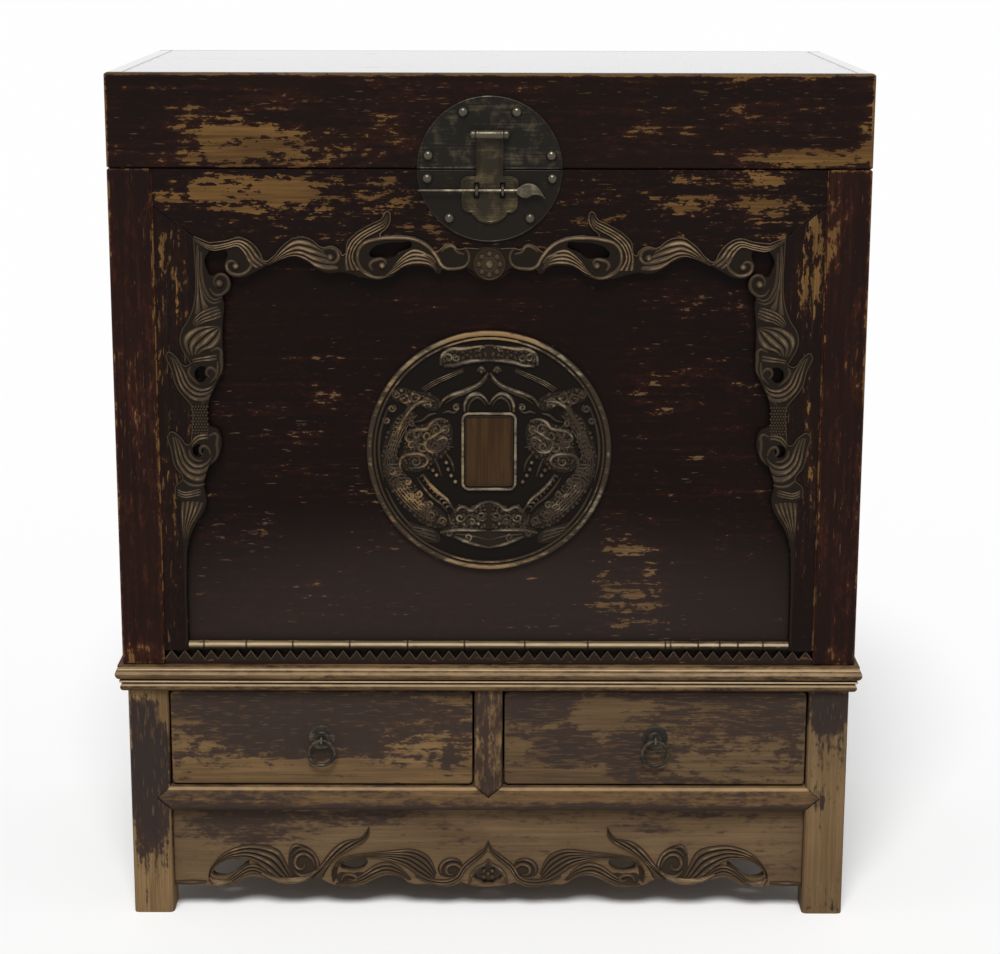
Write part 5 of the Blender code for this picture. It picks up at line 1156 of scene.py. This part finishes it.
# apron: scalloped board with pierced eyes, fluted leaves and curls
apron = {
    "front": -0.21855, "thick": 0.018,
    "edge": path("335.5 29.7!, 320.5 29, 304.5 29.7, 288.8 39.5, 278.4 40.8, 263.4 37, 244 33.2, 217 35.2, "
                 "203.7 43.3!, 195.5 35.7, 180.1 29.7, 151.9 29.7, 133.5 38.3, 118 43, 103.7 39.5, 92.4 32.4, "
                 "71.6 31.1, 45.9 28.3, 32 34!, 20.3 30"),
    "eyes": [
        path("329 43.5, 325 51.5, 316.6 58.4, 301 62.2, 284 59, 290.5 52.8, 298 46.2, 307 39.4, 318 37.4"),
        path("176.2 54.8, 164.4 62.8, 145 64, 149.1 49.5, 169 47.5"),
    ],
    "ogee": path("16.5 38.3, 12 49, 5 55, 0 59!"),
    "leaves": [  # two edges, flutes, height
        (path("333.4 33.1, 331.9 49, 316.4 69.6, 293 80.6, 269.8 81.4, 249.3 75.1, 239.3 57.2, 231.9 36.6"),
         path("331.4 43.5, 325.2 56.5, 306.3 64.4, 286.2 63.4, 274.2 56.5, 262.8 46.5, 251.4 37.8, "
              "240.2 35.1"), 4, 4.4),
        (path("330.3 33.1, 315.3 35.5, 303.1 43.5, 289.7 54.5, 278 57.2, 265.2 50.4, 259 40"),
         path("330.3 31.2, 314.8 31.1, 301.8 34.8, 290 42.1, 280.9 44.9, 270.6 42.1, 260.4 38.8"), 3, 3.6),
        (path("247.5 35.2, 232.1 35.7, 215.9 40.2, 202 53.7, 187.5 73.7, 171.8 86.1, 153.8 89.6, 146 97, "
              "141.2 105.2"),
         path("195.7 40, 191.7 49, 183.7 62.7, 172 73.7, 159 79.2, 148.7 84.7, 141.4 92.9, 140.8 99.7, "
              "141.8 103.8"), 3, 4.6),
        (path("185.5 33.1, 186.5 49, 174.7 64.9, 148.8 70.4, 117.9 74.3, 89.5 76.5, 70.2 66.9, 61.3 46.2"),
         path("179.6 40.7, 178.1 55.5, 164.4 65.4, 146.3 66.7, 123.1 64.1, 102.5 55.9, 84.6 42.4, "
              "66.6 34.7"), 5, 4.4),
        (path("181.6 33.1, 164.7 36.2, 149.1 45.9, 133.5 57.2, 118 60, 102.6 51.7, 91.1 37.8"),
         path("181.6 31.1, 164.8 31.1, 149.3 33.9, 136.3 40.4, 123.3 45.4, 107.8 43.1, 95 36.8"), 3, 3.6),
        (path("87.2 40.4, 71.7 33.7, 51 31.1, 34.2 37.6, 25.1 51.7, 12.2 62.7, 3.2 71, 0 80.6"),
         path("86 46, 71 40, 52 38, 39 43, 31 56, 17 68.5, 6 77, 0 88"), 2, 4.0),
    ],
    "curls": [
        path("205.8 54.5, 210.8 65.5, 221 70.4, 228.9 64.1, 227.8 53.1, 220 51.7, 218.1 58.6"),
        path("236.5 71, 229.9 80.6, 219.6 77.8"),
        path("202.8 48, 203.4 61, 211 73, 223 76, 233 68"),
        path("208.5 47, 215 43.5, 225 43.5, 232 50"),
        path("57 45, 55 57, 45 63.5, 33 61"),
        path("30.3 46.9, 34.2 54.5, 43.2 57.2, 49.7 51.7, 47.1 44.5, 40.6 44.5"),
        path("22.6 31.1, 20 43.5, 12.2 53.1, 3.2 58.2, 0 63.7"),
        path("373 33.8, 353.5 34.4, 336 34.6"),
        path("175 36.5, 171 43, 162 43.6, 157 39.6, 161.5 36.4, 166 38.6"),
    ],
    "ropes": [
        path("270 45.6, 257 39.4, 243 36.6, 228 37.2, 214 41.4, 205 49"),
        path("332 40, 326 34.6, 316 33.4, 306 36"),
    ],
    "grounds": [
        path("238.5 57, 236.5 72, 228 82, 214 79, 203 66, 200 54, 206 45, 222 40, 236 42"),
        path("178 46, 164 45.6, 149 47, 141 42, 150 35.6, 170 32.6, 180 35"),
        path("60 47, 56 61, 44 66, 33 62, 30 48, 40 42, 52 40.6"),
    ],
    "flower": path("0 44, 5 48, -5 48, 5 40, -5 40"),
}
overFloor = placing()
half = path("373.7 128.7!, 373.7 29.7!") + apron["edge"]
apronShapes = [half + mirrored(half[::-1]), apron["ogee"] + mirrored(apron["ogee"][-2::-1])]
for eye in apron["eyes"]:
    apronShapes += [eye, mirrored(eye)]
apronLoops = [outlined(shape, overFloor) for shape in apronShapes]
apronLeaves = [(first, second, flutes, height, 0.4, 0.4) for first, second, flutes, height in apron["leaves"]]
apronRibs = ribs(apron["curls"], 2.4, 0.6, 0.5, 0.9) + ribs(apron["ropes"], 4.2, 0.5, 0.5, 0.9)
apronGrounds = [outlined(loop, overFloor) for shape in apron["grounds"] for loop in (shape, mirrored(shape))]
apronLook = {
    "grain": "X", "wear": 0.22, "soft": 0.09, "rugged": 0.7, "grooveShadeTop": 0.72, "redness": 0.4, "sparse": 0.58,
    "tones": {**standTones, "wood": tone(106, 85, 62), "woodDark": tone(84, 67, 47),
              "groove": tone(10, 8, 6), "body": tone(63, 51, 39), "ridge": tone(146, 121, 92)},
    "carved": -0.11, "rough": 0.5,
    "patches": [(-0.290, 0.108, 0.110, 0.036, -0.19), (-0.15, 0.118, 0.09, 0.016, -0.18),
                (0.20, 0.106, 0.030, 0.012, -0.12), (0.25, 0.124, 0.14, 0.010, -0.06)],
}
apronMaterial = wornLacquer("apron_wood", apronLook)
flower = [overFloor(*spot) for spot in apron["flower"]]
piece("apron_carving",
      [cutBoard(apronLoops, apron["front"], apron["thick"], 0.0008), carve(apronRibs, overFloor, apron["front"]),
       beads(flower, 0.0034, apron["front"] + 0.003, 0.9)]
      + [ground([loop], apron["front"], 0.0005, 4, 0.42) for loop in apronGrounds]
      + leaves(apronLeaves, overFloor, apron["front"], keen=1.2),
      apronMaterial, "chest", ["carved_apron"])
print("stand done")

# drawers
drawerPatches = {
    "left": [(-0.205, 0.243, 0.230, 0.052, -0.21), (-0.195, 0.172, 0.24, 0.024, 0.12),
             (-0.090, 0.225, 0.07, 0.035, 0.09), (-0.340, 0.225, 0.05, 0.022, 0.06),
             (-0.046, 0.190, 0.014, 0.020, -0.14)],
    "right": [(0.055, 0.260, 0.058, 0.028, -0.20), (0.134, 0.248, 0.044, 0.030, 0.09),
              (0.090, 0.206, 0.050, 0.030, -0.21), (0.162, 0.196, 0.028, 0.034, -0.24),
              (0.080, 0.168, 0.090, 0.014, 0.10), (0.262, 0.271, 0.14, 0.011, -0.18),
              (0.330, 0.245, 0.055, 0.028, -0.18), (0.230, 0.240, 0.06, 0.022, -0.07),
              (0.29, 0.188, 0.10, 0.034, 0.05), (0.028, 0.198, 0.016, 0.014, 0.08)],
}
drawerLook = {"grain": "X", "wear": 0.12, "soft": 0.055, "rugged": 0.85, "redness": 0.35, "sparse": 0.56,
              "edge": 0.08, "reach": 0.005, "rough": 0.48}
drawerTones = {"left": {"wood": tone(117, 92, 62), "woodDark": tone(82, 63, 42)},
               "right": {"wood": tone(98, 79, 56), "woodDark": tone(72, 56, 39)}}
drawerFace = {"trim": 0.0010, "bow": 0.0050, "plate": 0.0137, "groove": (0.1650, 0.1726)}
insideGrains = {"side_left": "Y", "side_right": "Y", "back": "X", "bottom": "X"}
for side, _ in sides:
    name = "drawer_" + side + "_"
    look = {**drawerLook, "patches": drawerPatches[side], "tones": {**standTones, **drawerTones[side]}}
    low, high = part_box(name + "front")
    trim, bow = drawerFace["trim"], drawerFace["bow"]
    grooveLow, grooveTop = drawerFace["groove"]
    left, right, base, top = low.x + trim, high.x - trim, low.z + trim, high.z - trim
    corners = ((right - bow, base + bow, -90), (right - bow, top - bow, 0), (left + bow, top - bow, 90),
               (left + bow, base + bow, 180))
    loop = [(*spot, "sharp") for x, z, start in corners for spot in arc(x, z, bow, start, start + 90, 5)]
    backs = low.y + drawerFace["plate"] - 0.0001
    board = [cutBoard([loop], low.y, drawerFace["plate"], 0.0018, 1),
             brick((left + bow, backs, grooveTop), (right - bow, high.y, top - 0.002)),
             brick((left + bow, backs, base + 0.001), (right - bow, high.y, grooveLow))]
    piece(name + "face", board, wornLacquer(name + "face_wood", look, (low, high)), "drawer_" + side,
          [name + "front"])
    for part, grain in insideGrains.items():
        dressWood(name + part, {**bareLook, "grain": grain}, kind="wood")

# lock and pulls
bronzes = {
    "plate": {"dark": tone(22, 19, 14), "light": tone(74, 67, 53), "rough": 0.44, "rub": -0.02, "shine": 0.25},
    "base": {"dark": tone(24, 20, 15), "light": tone(58, 51, 39), "rough": 0.46, "rub": -0.08, "shine": 0.2},
    "hasp": {"dark": tone(38, 32, 22), "light": tone(84, 72, 51), "rough": 0.42, "shine": 0.25},
    "pin": {"dark": tone(64, 57, 45), "light": tone(122, 113, 94), "rough": 0.28},
    "pull": {"dark": tone(34, 31, 26), "light": tone(86, 78, 63), "rough": 0.4, "shine": 0.3},
}
plateBronze, baseBronze, haspBronze, pinBronze, pullBronze = (
    bronze(name + "_bronze", look) for name, look in bronzes.items())

lock = {
    "radius": 0.081, "thick": 0.002, "rim": 0.986, "line": 0.0001, "split": 0.0009,
    "nailCircle": 0.070, "nail": 0.0064, "upper": (13, 65, 115, 167), "lower": (-8, -50, -130, -172),
    "axis": (-0.24215, 0.923), "barrel": 0.0050, "strap": 0.0155, "haspThick": 0.0025, "haspGap": 0.0006,
    "earX": 0.01825, "earBlock": (0.0023, 0.0034), "capX": 0.0211, "capSize": (0.0014, 0.0032, 0.0032),
    "slot": (0.0028, 0.0088),
    "tongue": path("15.2 876.5!, 19.5 877.2, 26.5 876.5, 31.3 873, 32 867, 31.2 859, 31.2 849, 29.6 840.6, "
                   "25.4 837.2, 20.2 836.6!, 16.6 831.8, 9.5 826.6, 0 824.4"),
    "eye": (0.0144, -0.24325, 0.8615), "loop": 0.0050, "wire": 0.0018,
}


def halfPlate(start, chord):  # half of the round plate with a thin line round it
    rim = arc(0.0, lockZ, lock["radius"], start, start + 180, 60)
    edge = [(x, max(z, chord) if start == 0 else min(z, chord), "sharp") for x, z in rim]
    lineY, share = plateY - lock["line"], lock["rim"]
    rimLine = [(x * share, lineY, lockZ + (z - lockZ) * share) for x, z in rim[1:-1]]
    split = chord + (lock["split"] if start == 0 else -lock["split"])
    lines = [{"points": rimLine, "radii": [0.0007] * len(rimLine)}]
    lines += [{"points": [(sign * x, lineY, split) for x in (0.018, 0.045, 0.077)], "radii": [0.0004] * 3}
              for sign in (1, -1)]
    return [cutBoard([edge], plateY, lock["thick"], 0.0004, 1), even(tubes(lines, 1, 1), 0.16)]


def nails(angles):
    meshes = []
    for angle in angles:
        turn = math.radians(angle)
        far, size = lock["nailCircle"], lock["nail"]
        place = (far * math.cos(turn), plateY + 0.0002, boxTop + far * math.sin(turn))
        dome = [(0.0, 0.0058)] + [(size * 0.90 * math.sin(s), 0.0010 + 0.0048 * math.cos(s))
                                  for s in (0.25, 0.5, 0.75, 1.0, 1.25, 1.45)]
        nail = turned(dome + [(size * 0.95, 0.0010), (size, 0.0004), (size, -0.0005), (0.0, -0.0005)], place, 24)
        reaches = [math.hypot(v.co.x - place[0], v.co.z - place[2]) / size for v in nail.vertices]
        # domes are marked high for the lighter tone and rims low: rubbed bronze, partly painted as a highlight
        meshes.append(mark(nail, [1.0 if reach < 0.8 else 0.2 for reach in reaches]))
    return meshes


def staple(x, y, z, loop, wire, back):  # an eye of bent wire
    bend = [(x, y - math.sin(s) * loop, z + math.cos(s) * loop) for s in [math.pi * i / 10 for i in range(11)]]
    points = [(x, back, z + loop)] + bend + [(x, back, z - loop)]
    return {"points": [(*point, "sharp") for point in points], "radii": [wire] * len(points)}


axisY, axisZ = lock["axis"]
ears = []
for sign in (1, -1):
    x, wide, high = sign * lock["earX"], *lock["earBlock"]
    ears.append(barrel(x, axisY, axisZ, lock["barrel"], 0.0052, 0.0006))
    ears.append(brick((x - wide, axisY, axisZ - high), (x + wide, plateY + 0.001, axisZ + high)))
# the ears are marked raised: lighter tone, partly a painted highlight
ears = [even(mesh, 0.6) for mesh in ears]
piece("lock_plate_top", halfPlate(0, 0.885) + nails(lock["upper"]) + ears, plateBronze, "lid",
      ["lock_plate_upper"])
eyeX, eyeY, eyeZ = lock["eye"]
eyes = tubes([staple(sign * eyeX, eyeY, eyeZ, lock["loop"], lock["wire"], plateY + 0.001)
              for sign in (1, -1)], 2, 1)
# the eyes are marked raised and painted lighter, partly as a highlight
piece("lock_plate_base", halfPlate(180, 0.884) + nails(lock["lower"]) + [even(eyes, 0.9)], baseBronze, "chest",
      ["lock_plate_lower"])
caps = [barrel(0.0, axisY, axisZ, 0.0020, 0.0424, 0.0004)]
for sign in (1, -1):
    bm = bmesh.new()
    matrix = Matrix.Translation((sign * lock["capX"], axisY, axisZ)) @ Matrix.Diagonal((*lock["capSize"], 1.0))
    bmesh.ops.create_uvsphere(bm, u_segments=20, v_segments=10, radius=1.0, matrix=matrix)
    caps.append(bmMesh(bm))
piece("hasp_pin_rod", caps, haspBronze, "lid", ["hasp_hinge_pin"])
tongue = outlined(lock["tongue"], overFloor)
halfHasp = [(lock["strap"], axisZ, "sharp")] + tongue
slotX, slotZ = lock["slot"]
slots = [[(sign * eyeX + dx * slotX, eyeZ + dz * slotZ, "sharp")
          for dx, dz in ((-1, -1), (1, -1), (1, 1), (-1, 1))] for sign in (1, -1)]
haspFace = plateY - lock["haspGap"] - lock["haspThick"]
rim = [(x * 0.90, haspFace, eyeZ - 0.010 + (z - eyeZ + 0.010) * 0.91) for x, z, *_ in tongue[1:]]
rimRun = {"points": mirrored(rim[:-1]) + rim[::-1], "radii": [0.0008] * (2 * len(rim) - 1)}
strapLines = [{"points": [(sign * x, haspFace, z) for z in (axisZ - 0.004, 0.900, 0.879)], "radii": [size] * 3}
              for sign in (1, -1) for x, size in ((0.0141, 0.0009), (0.0110, 0.0006))]
# the knuckle is marked raised: lighter tone, partly a painted highlight
knuckle = [barrel(0.0, axisY, axisZ, lock["barrel"], 0.0304, 0.0005)]
knuckle += [barrel(sign * 0.0138, axisY, axisZ, 0.0053, 0.0022, 0.0006) for sign in (1, -1)]
piece("hasp_tongue",
      [cutBoard([halfHasp + mirrored(halfHasp[-2::-1]), *slots], haspFace, lock["haspThick"], 0.0005, 6),
       tubes([rimRun] + strapLines, 1, 4)] + [even(mesh, 0.8) for mesh in knuckle],
      haspBronze, "hasp", ["hasp"])

pin = {
    "shaft": [(-0.0800, 0.0008), (-0.0780, 0.0012), (-0.0400, 0.0015), (-0.0190, 0.0018), (0.0300, 0.0019),
              (0.0360, 0.0017)],  # x and radius
    "leaf": path("29 861.5, 34 866.6, 42 869.8, 51 867.5, 57.5 860.5, 62 852.2!, 55 856.4, 48 856.6, 41 853.6, "
                 "34 855.2"),
}
shaft = {"points": [(x, eyeY, eyeZ) for x, _ in pin["shaft"]], "radii": [radius for _, radius in pin["shaft"]]}
leafLoop = outlined(pin["leaf"], overFloor)
piece("lock_pin_leaf", [tubes([shaft], 3, 4), cutBoard([leafLoop], eyeY - 0.0017, 0.0034, 0.0012, 8)],
      pinBronze, "lock_pin", ["lock_pin"])

pull = {"x": 0.19525, "z": 0.21835, "face": -0.22785, "eyeY": -0.23605, "axis": 0.21725, "ring": 0.015,
        "wire": 0.0022, "steps": 16,
        "boss": [(0.0, 0.0022), (0.0055, 0.0021), (0.0072, 0.0017), (0.0078, 0.0010), (0.0110, 0.0013),
                 (0.0128, 0.0012), (0.0145, 0.0007), (0.0152, 0.0002), (0.0152, 0.0), (0.0, 0.0)]}
turns = [2 * math.pi * i / pull["steps"] for i in range(pull["steps"])]
for side, sign in sides:
    x = sign * pull["x"]
    boss = turned(pull["boss"], (x, pull["face"], pull["z"]), 36)
    # the pull eye is marked raised and painted lighter, partly as a highlight
    eye = even(tubes([staple(x, pull["eyeY"], pull["z"], 0.0045, 0.0016, pull["face"] - 0.001)], 2, 1), 1.0)
    piece("pull_boss_" + side, [boss, eye], pullBronze, "drawer_" + side, ["drawer_" + side + "_pull_plate"])
    reach = pull["ring"]
    ring = [(x + reach * math.sin(s), pull["eyeY"], pull["axis"] - reach + reach * math.cos(s)) for s in turns]
    run = {"points": ring, "radii": [pull["wire"]] * pull["steps"], "closed": True}
    piece("pull_ring_" + side, [tubes([run], 4, 6)], pullBronze, "ring_" + side, ["drawer_" + side + "_ring"])
for side, _ in sides:
    for part in ("box_leaf", "lid_leaf"):
        dress("hinge_" + side + "_" + part, plateBronze)
    dress("hinge_" + side + "_pin", pinBronze)
print("lock, pulls and hinges done")

low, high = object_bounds()
